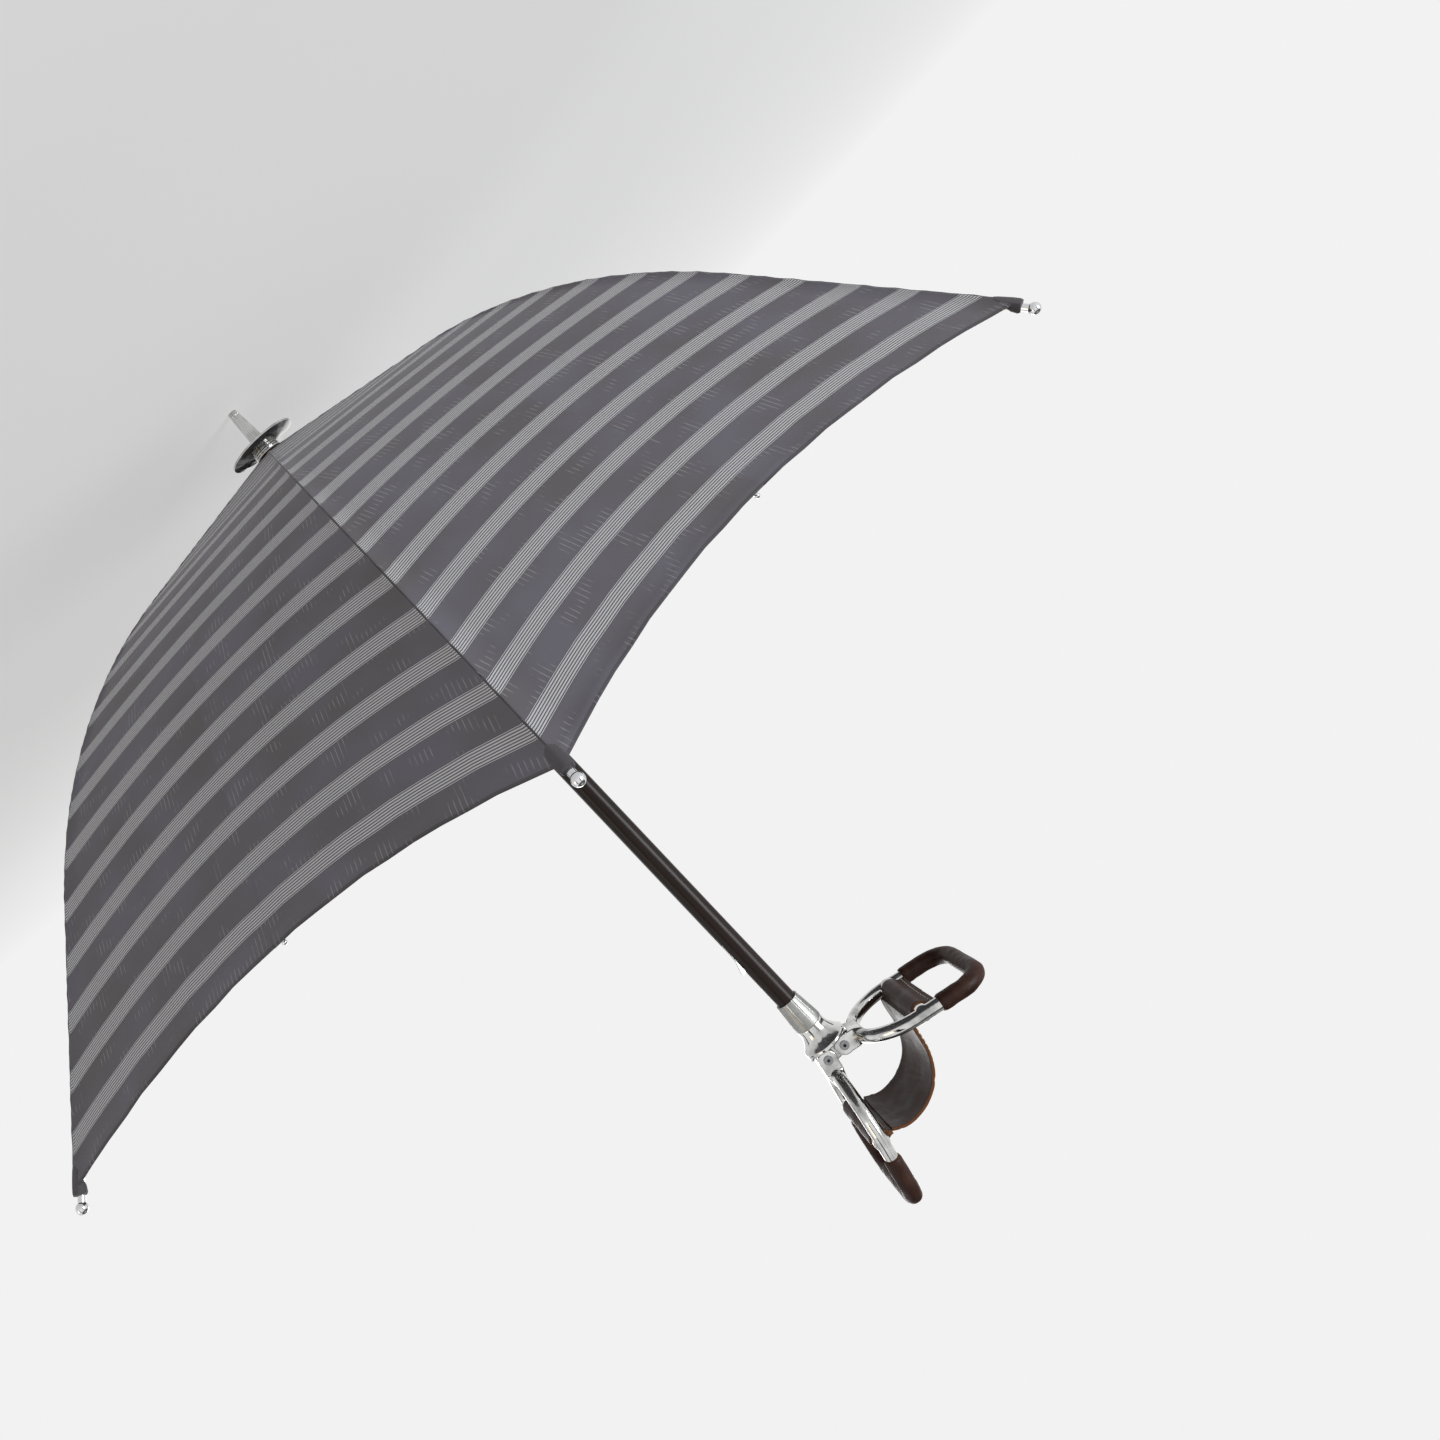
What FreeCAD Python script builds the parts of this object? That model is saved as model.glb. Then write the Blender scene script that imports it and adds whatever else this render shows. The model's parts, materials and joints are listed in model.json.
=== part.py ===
"""Seat stick with an umbrella round its shaft, in millimetres.

The origin is the centre of the spike's flat end. +Z runs up the shaft to the seat, X is the way the two
seat arms open, and Y runs along their pivot rivets. The canopy and the seat are open.
"""
import FreeCAD
import Part
import math
import os

os.makedirs("parts", exist_ok=True)
V = FreeCAD.Vector
X, Y, Z = V(1, 0, 0), V(0, 1, 0), V(0, 0, 1)
O = V(0, 0, 0)

# Clearances
RUN_GAP = 0.05            # a rivet in the hole that turns on it
SLIDE_GAP = 0.2           # the runner on the shaft
SIDE_GAP = 0.35           # between faces that pass each other
SEAT_GAP = 0.02           # a tube pushed over another
CUT = 1.0                 # how far a cut or a joined end runs past a face

# Shaft
SHAFT_R = 9.25
SHAFT_WALL = 1.35
SHAFT_TOP_BELOW_PIVOT = 21.0

# Spike and ground disc
SPIKE_LENGTH = 39.0
SPIKE_TIP_R = 4.15
SPIKE_BASE_R = 6.9
SPIKE_FLUTES = 10
SPIKE_FLUTE_R = 1.1
SPIKE_FLUTE_OUT = 0.6     # flute's axis outside the spike's face
SPIKE_SHANK = 34.0
DISC_R = 32.5
DISC_RIM = 1.6
DISC_RIM_DROP = 1.3       # rim below the middle of the face
DISC_BELLY_R = 24.4       # lowest ring of the face before the rim
DISC_SEAT_R = 15.0        # hollow of the face round the spike
DISC_SEAT_RISE = 0.9
DISC_BORE_RISE = 1.2
DISC_SHOULDER_R = 25.3    # the back: its shoulder, its waist and its cone
DISC_SHOULDER_RISE = 0.3
DISC_WAIST_R = 18.9
DISC_WAIST_RISE = 1.0
DISC_CONE_R = 13.0
DISC_CONE_DROP = 1.0
DISC_NECK_R = 11.0
DISC_HEIGHT = 4.6
COLLAR_R = 12.6
COLLAR_HEIGHT = 4.4
COLLAR_GROOVE = 0.7
WASHER_R = 13.0
WASHER_HEIGHT = 0.8

# Canopy profile: a straight run, an arc and a straight run, in radius and height
RIBS = 8
APEX_R = 13.5             # the hole in the fabric
KNEE_R = 200.0            # where the inner straight run ends
INNER_SLOPE = 16.0
OUTER_SLOPE = 49.0
BEND_R = 440.0
APEX_RISE = 1.0           # fabric above the washer at the hole
TIP_R = 529.0             # ball of a rib tip from the axis
FABRIC = 0.8
HEM_BACK = 9.0            # hem from the ball, along the rib
HEM_SAG = 34.0            # hem between two ribs, towards the apex
SEAM_GAP = 0.1
GORE_DIP = 0.4            # least sag of the fabric between two ribs
GORE_SECTIONS = 12
SEWING = 0.001            # between the edges of a panel's faces

# Ribs, stretchers and the rings that they hinge in
RIB_WIDTH = 2.6
RIB_DEPTH = 3.6
RIB_UNDER_FABRIC = 1.6
RIB_END_BACK = 12.0       # end of the steel rib from the ball
STRETCHER_LENGTH = 285.0  # as long as the way from the rib's hinge to their joint
STRETCHER_DEPTH = 3.0
FORK_WALL = 0.9
FORK_LENGTH = 14.0
EYE_R = 2.2
FORK_LAP = 3.0            # fork's root over the bar
JOINT_RIVET_R = 0.9
JOINT_HEAD_R = 1.5
JOINT_HEAD = 0.5
HINGE_RING_R = 15.5
WIRE_R = 0.75
WIRE_HOLE_R = 0.9
RING_R = 19.0
RING_HEIGHT = 5.4
RING_SLOT = 3.4
RING_FOOT = 1.3           # ring below its wire
TIP_STEM_R = 2.3
TIP_BALL_R = 3.7
CLOSING_ANGLE = 56.0

# Runner, its stop and the two springs
RUNNER_R = 12.6
RUNNER_LENGTH = 58.0
RUNNER_HEAD = 6.6
RUNNER_END_RING = 4.0
RUNNER_END_R = 12.9
CHANNEL_R = 15.4
CHANNEL_WALL = 1.2
CHANNEL_WIDTH = 5.4
GROOVE_WIDTH = 3.0
WINDOW_LENGTH = 16.0
WINDOW_BACK = 1.5
STOP_R = 1.2
STOP_OUT = 2.6
SPRING_AZIMUTH = -22.5
SPRING_OUT = 4.4
SPRING_LENGTH = 31.0
SPRING_WIDTH = 1.8
SPRING_RAMP = 13.0
SPRING_RAMP_OUT = 0.4       # plate outside the shaft's face where the ramp starts
SPRING_FOOT_OUT = 0.2
SPRING_FOOT_SINK = 0.6
SPRING_FOOT_LEAD = 3.0
SPRING_LIP = 2.0            # flat top of the step
SPRING_LIP_BACK = 0.2
SPRING_ROOT = 1.4           # inside the bore, past its travel
SPRING_TRAVEL = 3.6
HAND_SPRING_BELOW_COLLAR = 42.0
TOP_SPRING_GAP = 1.0

# Hub
PIVOT_Z = 749.0
PIVOT_X = 9.4
HUB_HALF = 11.3           # half the width over the ears, along Y
TONGUE_HALF = 4.5
TONGUE_DROP = 0.6         # tongue's top below its bosses
BOSS_R = 8.5
RIVET_R = 3.0
RIVET_BORE_R = 1.4
RIVET_HEAD_R = 4.0
RIVET_HEAD = 0.8
LEDGE_DROP = 9.3          # hub's flat ledge below the pivots
BOWL_R = 20.5
BOWL_RIM = 3.0
BOWL_HEIGHT = 16.0
BOWL_FLARE = 2.5          # bowl's side past its neck, halfway up
NECK_R = 12.8
NECK_HEIGHT = 6.0
SOCKET_LENGTH = 27.0
SOCKET_TOP_R = 13.0
SOCKET_FOOT_R = 10.6
SOCKET_FLUTES = 12
SOCKET_FLUTE_R = 1.3
SOCKET_FLUTE_OUT = 0.9    # flute's axis outside the collar's foot
SOCKET_CHAMFER = 0.3
SOCKET_CHAMFER_HEIGHT = 1.0
SOCKET_BAND = 3.0         # plain band under the hub
SOCKET_PIN_OUT = 1.6
SOCKET_PIN_R = 1.5
STOP_PAD_START = 15.3
STOP_PAD_END = 20.2

# Seat arms, along the arm from its pivot
ARM_OPEN = 80.0           # stop, from the shaft's line
ARM_SHUT = 3.0
FRONT_ANGLE = 80.0        # as shown
REAR_ANGLE = 12.0
ROD_R = 5.9
BOW_R = 47.5              # rounded foot of the arm
BOW_CENTRE = 62.0
CORNER_R = 23.0
ARM_LENGTH = 124.0        # to the middle of the far rail
BLOCK_START = 9.4
BLOCK_END = 24.0
BLOCK_HALF = 8.1
BLOCK_SPREAD = 20.0
BLOCK_EDGE_R = 3.0
BLOCK_END_EDGE_R = 5.0
BLOCK_WAIST_HALF = 7.5
BLOCK_WAIST_SPREAD = 13.3
BLOCK_WAIST_EDGE_R = 3.4
BLOCK_WAIST_BACK = 2.0
BLOCK_LAP = 3.0           # block's foot over its neck, and its top inside the loop
BAR_R = 4.6
BAR_AT = 66.0
BAR_LUG_R = 7.2
BAR_LUG = 7.0
GRIP_R = 7.5
GRIP_START = 81.0

# Leather
SLEEVE_R = 8.6
SLEEVE_HALF = 38.5
FLAP_REACH = 16.5
FLAP = 4.6                # two layers, sewn together
SLING = 3.0
SLING_HALF = 39.5
ARCH_X = -14.0
ARCH_Z = 33.0             # above the pivots
ARCH_R = 41.5
ARCH_END = 70.0           # degrees, where the arch meets its run to the rear sleeve
SLING_FRONT_NEAR = 25.0   # degrees round the front cross-bar: the strap's two faces
SLING_FRONT_FAR = 50.0
SLING_REAR_TOP = 112.0    # and round the rear one
SLING_REAR_LOW = 118.0


def save(name, *solids):
    """Writes one node as its own file."""
    shape = solids[0] if len(solids) == 1 else Part.makeCompound(list(solids))
    shape.exportStep(f"parts/{name}.step")
    return shape


def polar(radius, degrees, height=0.0):
    a = math.radians(degrees)
    return V(radius * math.cos(a), radius * math.sin(a), height)


def cylinder(radius, length, base, axis):
    return Part.makeCylinder(radius, length, base, axis)


def tube(outer, inner, length, base, axis=Z):
    hole = cylinder(inner, length + 2 * CUT, base - axis * CUT, axis)
    return cylinder(outer, length, base, axis).cut(hole)


def revolved(points):
    """A solid turned round Z from its half outline, given as (radius, height) points."""
    outline = Part.makePolygon([V(r, 0, z) for r, z in points + points[:1]])
    return Part.Face(outline).revolve(O, Z, 360)


def box_between(low, high):
    return Part.makeBox(high.x - low.x, high.y - low.y, high.z - low.z, low)


def torus(ring, wire, height):
    return Part.makeTorus(ring, wire, V(0, 0, height), Z)


def rib_azimuth(k):
    return 360.0 / RIBS * k


def unit(degrees):
    return V(math.cos(math.radians(degrees)), math.sin(math.radians(degrees)), 0)


def upright(degrees):
    """Unit vector in the X Z plane, from X towards Z."""
    return V(math.cos(math.radians(degrees)), 0, math.sin(math.radians(degrees)))


# Heights that follow from the sizes above
DISC_Z = SPIKE_LENGTH
COLLAR_Z = DISC_Z + DISC_HEIGHT
WASHER_Z = COLLAR_Z + COLLAR_HEIGHT
APEX_Z = WASHER_Z + WASHER_HEIGHT + APEX_RISE - FABRIC
SHAFT_FOOT = COLLAR_Z
SHAFT_TOP = PIVOT_Z - SHAFT_TOP_BELOW_PIVOT
SHAFT_BORE = SHAFT_R - SHAFT_WALL
HUB_FOOT = PIVOT_Z - LEDGE_DROP - BOWL_HEIGHT - NECK_HEIGHT
SOCKET_FOOT = HUB_FOOT - SOCKET_LENGTH


def profile(inward):
    """The canopy's line in radius and height, moved inward from the fabric's outer face.

    Returns the straight run's start, the arc's centre and radius, and the outer run's end."""
    a, b = math.radians(INNER_SLOPE), math.radians(OUTER_SLOPE)
    start = V(APEX_R, 0, APEX_Z) + V(-math.sin(a), 0, math.cos(a)) * inward
    knee = start + V(math.cos(a), 0, math.sin(a)) * ((KNEE_R - APEX_R) / math.cos(a))
    radius = BEND_R - inward
    centre = knee + V(-math.sin(a), 0, math.cos(a)) * radius
    leave = centre + V(math.sin(b), 0, -math.cos(b)) * radius
    bend_leave_r = KNEE_R + BEND_R * (math.sin(b) - math.sin(a))
    end = leave + V(math.cos(b), 0, math.sin(b)) * ((TIP_R - bend_leave_r) / math.cos(b))
    return start, knee, centre, radius, leave, end


def along(inward, distance):
    """Point and direction on that line, a distance from its start."""
    start, knee, centre, radius, leave, end = profile(inward)
    a, b = math.radians(INNER_SLOPE), math.radians(OUTER_SLOPE)
    first = (knee - start).Length
    bend = radius * (b - a)
    if distance <= first:
        direction = upright(INNER_SLOPE)
        return start + direction * distance, direction
    if distance <= first + bend:
        t = a + (distance - first) / radius
        return centre + V(math.sin(t), 0, -math.cos(t)) * radius, V(math.cos(t), 0, math.sin(t))
    direction = upright(OUTER_SLOPE)
    return leave + direction * (distance - first - bend), direction


def profile_length(inward):
    start, knee, centre, radius, leave, end = profile(inward)
    bend = radius * math.radians(OUTER_SLOPE - INNER_SLOPE)
    return (knee - start).Length + bend + (end - leave).Length


RIB_INWARD = FABRIC + RIB_UNDER_FABRIC + RIB_DEPTH / 2
RIB_FROM = (HINGE_RING_R - profile(RIB_INWARD)[0].x) / math.cos(math.radians(INNER_SLOPE))
HINGE = along(RIB_INWARD, RIB_FROM)[0]


def joint_distance():
    """Where the stretcher meets the rib, along the rib's line: a stretcher's length from the hinge."""
    low, high = RIB_FROM, profile_length(RIB_INWARD)
    for _ in range(60):
        middle = (low + high) / 2
        if (along(RIB_INWARD, middle)[0] - HINGE).Length < STRETCHER_LENGTH:
            low = middle
        else:
            high = middle
    return low


JOINT_FROM = joint_distance()
JOINT = along(RIB_INWARD, JOINT_FROM)[0]
RIB_RISE = math.degrees(math.atan2(JOINT.z - HINGE.z, JOINT.x - HINGE.x))
RUNNER_Z = HINGE.z + 2 * STRETCHER_LENGTH * math.sin(math.radians(RIB_RISE))
RUNNER_SHUT_Z = HINGE.z + 2 * STRETCHER_LENGTH * math.sin(math.radians(RIB_RISE + CLOSING_ANGLE))
HAND_SPRING_Z = SOCKET_FOOT - HAND_SPRING_BELOW_COLLAR
TOP_SPRING_Z = RUNNER_Z + RUNNER_LENGTH + TOP_SPRING_GAP
STOP_AZIMUTH = 180.0 / RIBS
STOP_Z = RUNNER_Z - RING_FOOT - SIDE_GAP - STOP_R


def in_rib_plane(shape, k):
    """Turns a shape made in the X Z plane to the plane of rib k."""
    return shape.rotated(O, Z, rib_azimuth(k))


def spike():
    cone = Part.makeCone(SPIKE_TIP_R, SPIKE_BASE_R, SPIKE_LENGTH)
    shank = cylinder(SHAFT_BORE - SEAT_GAP, SPIKE_SHANK, V(0, 0, SPIKE_LENGTH), Z)
    lean = math.degrees(math.atan2(SPIKE_BASE_R - SPIKE_TIP_R, SPIKE_LENGTH))
    for n in range(SPIKE_FLUTES):
        flute = cylinder(SPIKE_FLUTE_R, SPIKE_LENGTH, V(SPIKE_TIP_R + SPIKE_FLUTE_OUT, 0, SPIKE_TIP_R), Z)
        flute = flute.rotated(V(SPIKE_TIP_R, 0, SPIKE_TIP_R), Y, lean)
        keep = box_between(V(-DISC_R, -DISC_R, 0), V(DISC_R, DISC_R, SPIKE_LENGTH - SPIKE_FLUTE_R))
        cone = cone.cut(flute.common(keep).rotated(O, Z, 360.0 / SPIKE_FLUTES * n))
    return cone.fuse(shank).removeSplitter()


def ground_disc():
    bore = SHAFT_BORE
    rim = DISC_Z + DISC_RIM
    top = DISC_Z + DISC_HEIGHT
    line = [
        (bore, DISC_Z + DISC_BORE_RISE),
        (DISC_SEAT_R, DISC_Z + DISC_SEAT_RISE),
        (DISC_BELLY_R, DISC_Z),
        (DISC_R, DISC_Z - DISC_RIM_DROP),
        (DISC_R, rim - DISC_RIM_DROP),
        (DISC_SHOULDER_R, rim + DISC_SHOULDER_RISE),
        (DISC_WAIST_R, rim + DISC_WAIST_RISE),
        (DISC_CONE_R, top - DISC_CONE_DROP),
        (DISC_NECK_R, top),
        (bore, top),
    ]
    return revolved(line)


def disc_collar():
    g = COLLAR_GROOVE
    low, high = COLLAR_Z, COLLAR_Z + COLLAR_HEIGHT
    middle = (low + high) / 2
    r = COLLAR_R
    line = [
        (SHAFT_R + SEAT_GAP, low), (r - g, low), (r, low + g), (r, middle - g), (r - g, middle),
        (r, middle + g), (r, high - g), (r - g, high), (SHAFT_R + SEAT_GAP, high),
    ]
    return revolved(line)


def shaft():
    body = tube(SHAFT_R, SHAFT_BORE, SHAFT_TOP - SHAFT_FOOT, V(0, 0, SHAFT_FOOT))
    half = SPRING_WIDTH / 2 + SLIDE_GAP
    for low in (HAND_SPRING_Z - SPRING_LENGTH, TOP_SPRING_Z):
        slot = box_between(
            V(0, -half, low - SLIDE_GAP * 2), V(SHAFT_R * 2, half, low + SPRING_LENGTH + SLIDE_GAP * 2)
        )
        body = body.cut(slot.rotated(O, Z, SPRING_AZIMUTH))
    pin = cylinder(SOCKET_PIN_R, SHAFT_R * 4, V(0, -SHAFT_R * 2, SOCKET_FOOT + SOCKET_LENGTH / 2), Y)
    stop = cylinder(STOP_R, SHAFT_R * 4, polar(SHAFT_R * 2, 180 + STOP_AZIMUTH, STOP_Z), unit(STOP_AZIMUTH))
    return body.cut(pin).cut(stop)


def hinge_ring(height):
    """A slotted ring round the shaft with a wire groove, for eight hinges at one height."""
    ring = tube(RING_R, SHAFT_R + SEAT_GAP, RING_HEIGHT, V(0, 0, height - RING_FOOT))
    for k in range(RIBS):
        slot = box_between(
            V(HINGE_RING_R - EYE_R - SLIDE_GAP, -RING_SLOT / 2, height - RING_R),
            V(RING_R * 2, RING_SLOT / 2, height + RING_R),
        )
        ring = ring.cut(in_rib_plane(slot, k))
    return ring.cut(torus(HINGE_RING_R, WIRE_R, height))


def runner():
    """Slotted head and sleeve, with a raised channel that passes over the springs and a window for the catch."""
    foot = RUNNER_Z - RING_FOOT
    top = RUNNER_Z + RUNNER_LENGTH
    bore = SHAFT_R + SLIDE_GAP
    body = cylinder(RUNNER_R, top - foot, V(0, 0, foot), Z)
    body = body.fuse(cylinder(RING_R, RUNNER_HEAD, V(0, 0, foot), Z))
    body = body.fuse(cylinder(RUNNER_END_R, RUNNER_END_RING, V(0, 0, top - RUNNER_END_RING), Z))
    half = CHANNEL_WIDTH / 2
    channel = cylinder(CHANNEL_R, top - foot, V(0, 0, foot), Z).common(
        box_between(V(0, -half, foot), V(RING_R, half, top))
    )
    body = body.fuse(channel.rotated(O, Z, SPRING_AZIMUTH))
    body = body.cut(cylinder(bore, RUNNER_LENGTH * 2, V(0, 0, foot - CUT), Z))
    for k in range(RIBS):
        slot = box_between(
            V(HINGE_RING_R - EYE_R - SLIDE_GAP / 2, -RING_SLOT / 2, foot - CUT),
            V(RING_R * 2, RING_SLOT / 2, foot + RUNNER_HEAD + CUT),
        )
        body = body.cut(in_rib_plane(slot, k))
    body = body.cut(torus(HINGE_RING_R, WIRE_R, RUNNER_Z))
    inside = CHANNEL_R - CHANNEL_WALL
    groove = box_between(V(0, -GROOVE_WIDTH / 2, foot - CUT), V(inside, GROOVE_WIDTH / 2, top + CUT))
    catch = HAND_SPRING_Z - RUNNER_SHUT_Z + RUNNER_Z
    window = box_between(
        V(0, -GROOVE_WIDTH / 2, catch - WINDOW_LENGTH + WINDOW_BACK),
        V(RUNNER_R * 2, GROOVE_WIDTH / 2, catch + WINDOW_BACK),
    )
    return body.cut(groove.fuse(window).rotated(O, Z, SPRING_AZIMUTH)).removeSplitter()


def spring(step, way):
    """A flat steel catch with a square step at one end and a ramp that runs the given way from it."""
    out = SHAFT_R + SPRING_OUT
    root = SHAFT_BORE - SPRING_TRAVEL - SPRING_ROOT
    foot = step + way * SPRING_LENGTH
    points = [
        V(root, 0, foot), V(SHAFT_R - SPRING_FOOT_SINK, 0, foot),
        V(SHAFT_R + SPRING_FOOT_OUT, 0, foot - way * SPRING_FOOT_LEAD),
        V(SHAFT_R + SPRING_RAMP_OUT, 0, step + way * SPRING_RAMP),
        V(out, 0, step + way * SPRING_LIP), V(out - SPRING_LIP_BACK, 0, step), V(root, 0, step),
    ]
    plate = Part.Face(Part.makePolygon(points + points[:1])).extrude(Y * SPRING_WIDTH)
    return plate.translated(Y * (-SPRING_WIDTH / 2)).rotated(O, Z, SPRING_AZIMUTH)


def profile_plate(inward_low, inward_high, start_at, end_at, width):
    """A strip in the X Z plane between two offsets of the canopy's line, as wide as given along Y."""
    edges = []
    ends = []
    for inward in (inward_low, inward_high):
        first, last = along(inward, start_at), along(inward, end_at - bend_loss(inward))
        start, knee, centre, radius, leave, end = profile(inward)
        middle_angle = math.radians((INNER_SLOPE + OUTER_SLOPE) / 2)
        middle = centre + V(math.sin(middle_angle), 0, -math.cos(middle_angle)) * radius
        edges += [
            Part.LineSegment(first[0], knee).toShape(),
            Part.Arc(knee, middle, leave).toShape(),
            Part.LineSegment(leave, last[0]).toShape(),
        ]
        ends.append((first[0], last[0]))
    edges.append(Part.LineSegment(ends[0][0], ends[1][0]).toShape())
    edges.append(Part.LineSegment(ends[0][1], ends[1][1]).toShape())
    face = Part.Face(Part.Wire(Part.__sortEdges__(edges)))
    return face.extrude(Y * width).translated(Y * (-width / 2))


def bend_loss(inward):
    """How much shorter the bend is on an inner line than on the rib's own."""
    return (inward - RIB_INWARD) * math.radians(OUTER_SLOPE - INNER_SLOPE)


def rib(k):
    end = profile_length(RIB_INWARD) - RIB_END_BACK
    half = RIB_DEPTH / 2
    strip = profile_plate(RIB_INWARD - half, RIB_INWARD + half, RIB_FROM, end, RIB_WIDTH)
    for point in (HINGE, JOINT):
        strip = strip.fuse(cylinder(EYE_R, RIB_WIDTH, point - Y * (RIB_WIDTH / 2), Y))
    for point, radius in ((HINGE, WIRE_HOLE_R), (JOINT, JOINT_RIVET_R + RUN_GAP)):
        strip = strip.cut(cylinder(radius, RIB_WIDTH * 2, point - Y * RIB_WIDTH, Y))
    return in_rib_plane(strip, k)


def rib_tip(k):
    """Stem and ball that close the end of a rib."""
    end = profile_length(RIB_INWARD)
    foot, direction = along(RIB_INWARD, end - RIB_END_BACK)
    ball, _ = along(RIB_INWARD, end)
    stem = cylinder(TIP_STEM_R, RIB_END_BACK, foot, direction)
    return in_rib_plane(stem.fuse(Part.makeSphere(TIP_BALL_R, ball)), k)


def wire_way(angle):
    """Room for the wire to leave a stretcher's hooked end straight down, at every angle it closes through."""
    reach = 4 * STRETCHER_DEPTH + FORK_LENGTH
    corners = []
    for lean, side in ((90 - angle, -1), (90 - angle - CLOSING_ANGLE, 1)):
        a = math.radians(-lean)
        way = V(math.cos(a), 0, math.sin(a))
        across = V(-math.sin(a), 0, math.cos(a)) * (side * WIRE_HOLE_R)
        corners += [across, across + way * reach] if side < 0 else [across + way * reach, across]
    wedge = Part.Face(Part.makePolygon(corners + corners[:1])).extrude(Y * RIB_WIDTH * 2)
    hole = cylinder(WIRE_HOLE_R, RIB_WIDTH * 2, V(0, -RIB_WIDTH, 0), Y)
    return hole.fuse(wedge.translated(Y * -RIB_WIDTH))


def stretcher(k):
    """Straight bar from the runner's wire to the rib, forked round the rib, with the rivet that joins them."""
    start = V(HINGE_RING_R, 0, RUNNER_Z)
    run = JOINT - start
    length = run.Length
    along_x = run / length
    angle = math.degrees(math.atan2(-along_x.z, along_x.x))
    half = RIB_WIDTH / 2
    prong = half + SIDE_GAP
    outer = prong + FORK_WALL
    depth = STRETCHER_DEPTH / 2
    bridge = length - FORK_LENGTH
    bar = box_between(V(0, -half, -depth), V(bridge, half, depth))
    bar = bar.fuse(cylinder(EYE_R, RIB_WIDTH, V(0, -half, 0), Y))
    fork = box_between(V(bridge - FORK_LAP, -outer, -depth), V(length, outer, depth))
    fork = fork.fuse(cylinder(EYE_R, 2 * outer, V(length, -outer, 0), Y))
    fork = fork.cut(box_between(V(bridge, -prong, -EYE_R * 2), V(length * 2, prong, EYE_R * 2)))
    body = bar.fuse(fork)
    body = body.cut(wire_way(angle))
    body = body.cut(cylinder(JOINT_RIVET_R, 4 * outer, V(length, -2 * outer, 0), Y))
    rivet = cylinder(JOINT_RIVET_R, 2 * outer, V(length, -outer, 0), Y)
    for y in (-outer - JOINT_HEAD, outer):
        rivet = rivet.fuse(cylinder(JOINT_HEAD_R, JOINT_HEAD, V(length, y, 0), Y))
    placed = []
    for solid in (body.removeSplitter(), rivet.removeSplitter()):
        solid = solid.rotated(O, Y, angle).translated(start)
        placed.append(in_rib_plane(solid, k))
    return placed


def gore_skin(inward):
    """One face of a panel: arcs across from rib to rib, drawn in towards the hem."""
    length = profile_length(0) - HEM_BACK
    half_turn = 180.0 / RIBS
    arcs = []
    for n in range(GORE_SECTIONS):
        t = n / (GORE_SECTIONS - 1)
        side, _ = along(inward, length * t)
        centre, _ = along(inward, GORE_DIP + length * t - (HEM_SAG + GORE_DIP) * t * t)
        gap = math.degrees(SEAM_GAP / side.x)
        reach = (centre.x - GORE_DIP) * math.cos(math.radians(half_turn))
        first = polar(side.x, gap, side.z)
        last = polar(side.x, 2 * half_turn - gap, side.z)
        arc = Part.Arc(first, polar(reach, half_turn, centre.z), last)
        arcs.append(Part.Wire([arc.toShape()]))
    return Part.makeLoft(arcs, False, False).Faces[0]


def gore(k):
    """One triangular panel of fabric between two ribs, with a hem that curves in."""
    outer, inner = gore_skin(0.0), gore_skin(FABRIC)
    sides = [Part.makeRuledSurface(a, b) for a, b in zip(outer.Edges, inner.Edges)]
    skin = Part.makeCompound([outer, inner] + sides)
    skin.sewShape(SEWING)
    return in_rib_plane(Part.Solid(skin), k)


def hub_socket():
    """Tapered, fluted collar that takes the shaft's end."""
    low, high = SOCKET_FOOT, HUB_FOOT
    line = [
        (SHAFT_R + SEAT_GAP, low), (SOCKET_FOOT_R, low),
        (SOCKET_FOOT_R + SOCKET_CHAMFER, low + SOCKET_CHAMFER_HEIGHT),
        (SOCKET_TOP_R, high - SOCKET_BAND), (SOCKET_TOP_R, high), (SHAFT_R + SEAT_GAP, high),
    ]
    body = revolved(line)
    reach = SOCKET_LENGTH - SOCKET_BAND - CUT
    lean = math.degrees(math.atan2(SOCKET_TOP_R - SOCKET_FOOT_R, reach))
    for n in range(SOCKET_FLUTES):
        start = V(SOCKET_FOOT_R + SOCKET_FLUTE_OUT, 0, low - CUT)
        flute = cylinder(SOCKET_FLUTE_R, reach, start, Z).rotated(start, Y, lean)
        body = body.cut(flute.rotated(O, Z, 360.0 / SOCKET_FLUTES * (n + 0.5)))
    pin = cylinder(SOCKET_PIN_R, SHAFT_R * 4, V(0, -SHAFT_R * 2, low + SOCKET_LENGTH / 2), Y)
    return body.cut(pin)


def socket_pin():
    reach = SOCKET_FOOT_R + SOCKET_PIN_OUT
    return cylinder(SOCKET_PIN_R, 2 * reach, V(0, -reach, SOCKET_FOOT + SOCKET_LENGTH / 2), Y)


def stop_pin():
    reach = SHAFT_R + STOP_OUT
    return cylinder(STOP_R, 2 * reach, polar(reach, 180 + STOP_AZIMUTH, STOP_Z), unit(STOP_AZIMUTH))


def stop_pad(side):
    """Shoulder on the hub's ledge that an open arm's heel rests on."""
    lift = math.tan(math.radians(90 - ARM_OPEN))
    drop = (BLOCK_HALF + SIDE_GAP) / math.cos(math.radians(90 - ARM_OPEN))
    low = -LEDGE_DROP - CUT
    ends = (STOP_PAD_START, STOP_PAD_END)
    tops = [-drop + (x - PIVOT_X) * lift for x in ends]
    points = [V(ends[0], 0, low), V(ends[1], 0, low), V(ends[1], 0, tops[1]), V(ends[0], 0, tops[0])]
    pad = Part.Face(Part.makePolygon(points + points[:1])).extrude(Y * TONGUE_HALF * 4)
    pad = pad.translated(V(0, -TONGUE_HALF * 2, PIVOT_Z))
    return pad if side > 0 else pad.mirror(O, X)


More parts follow.
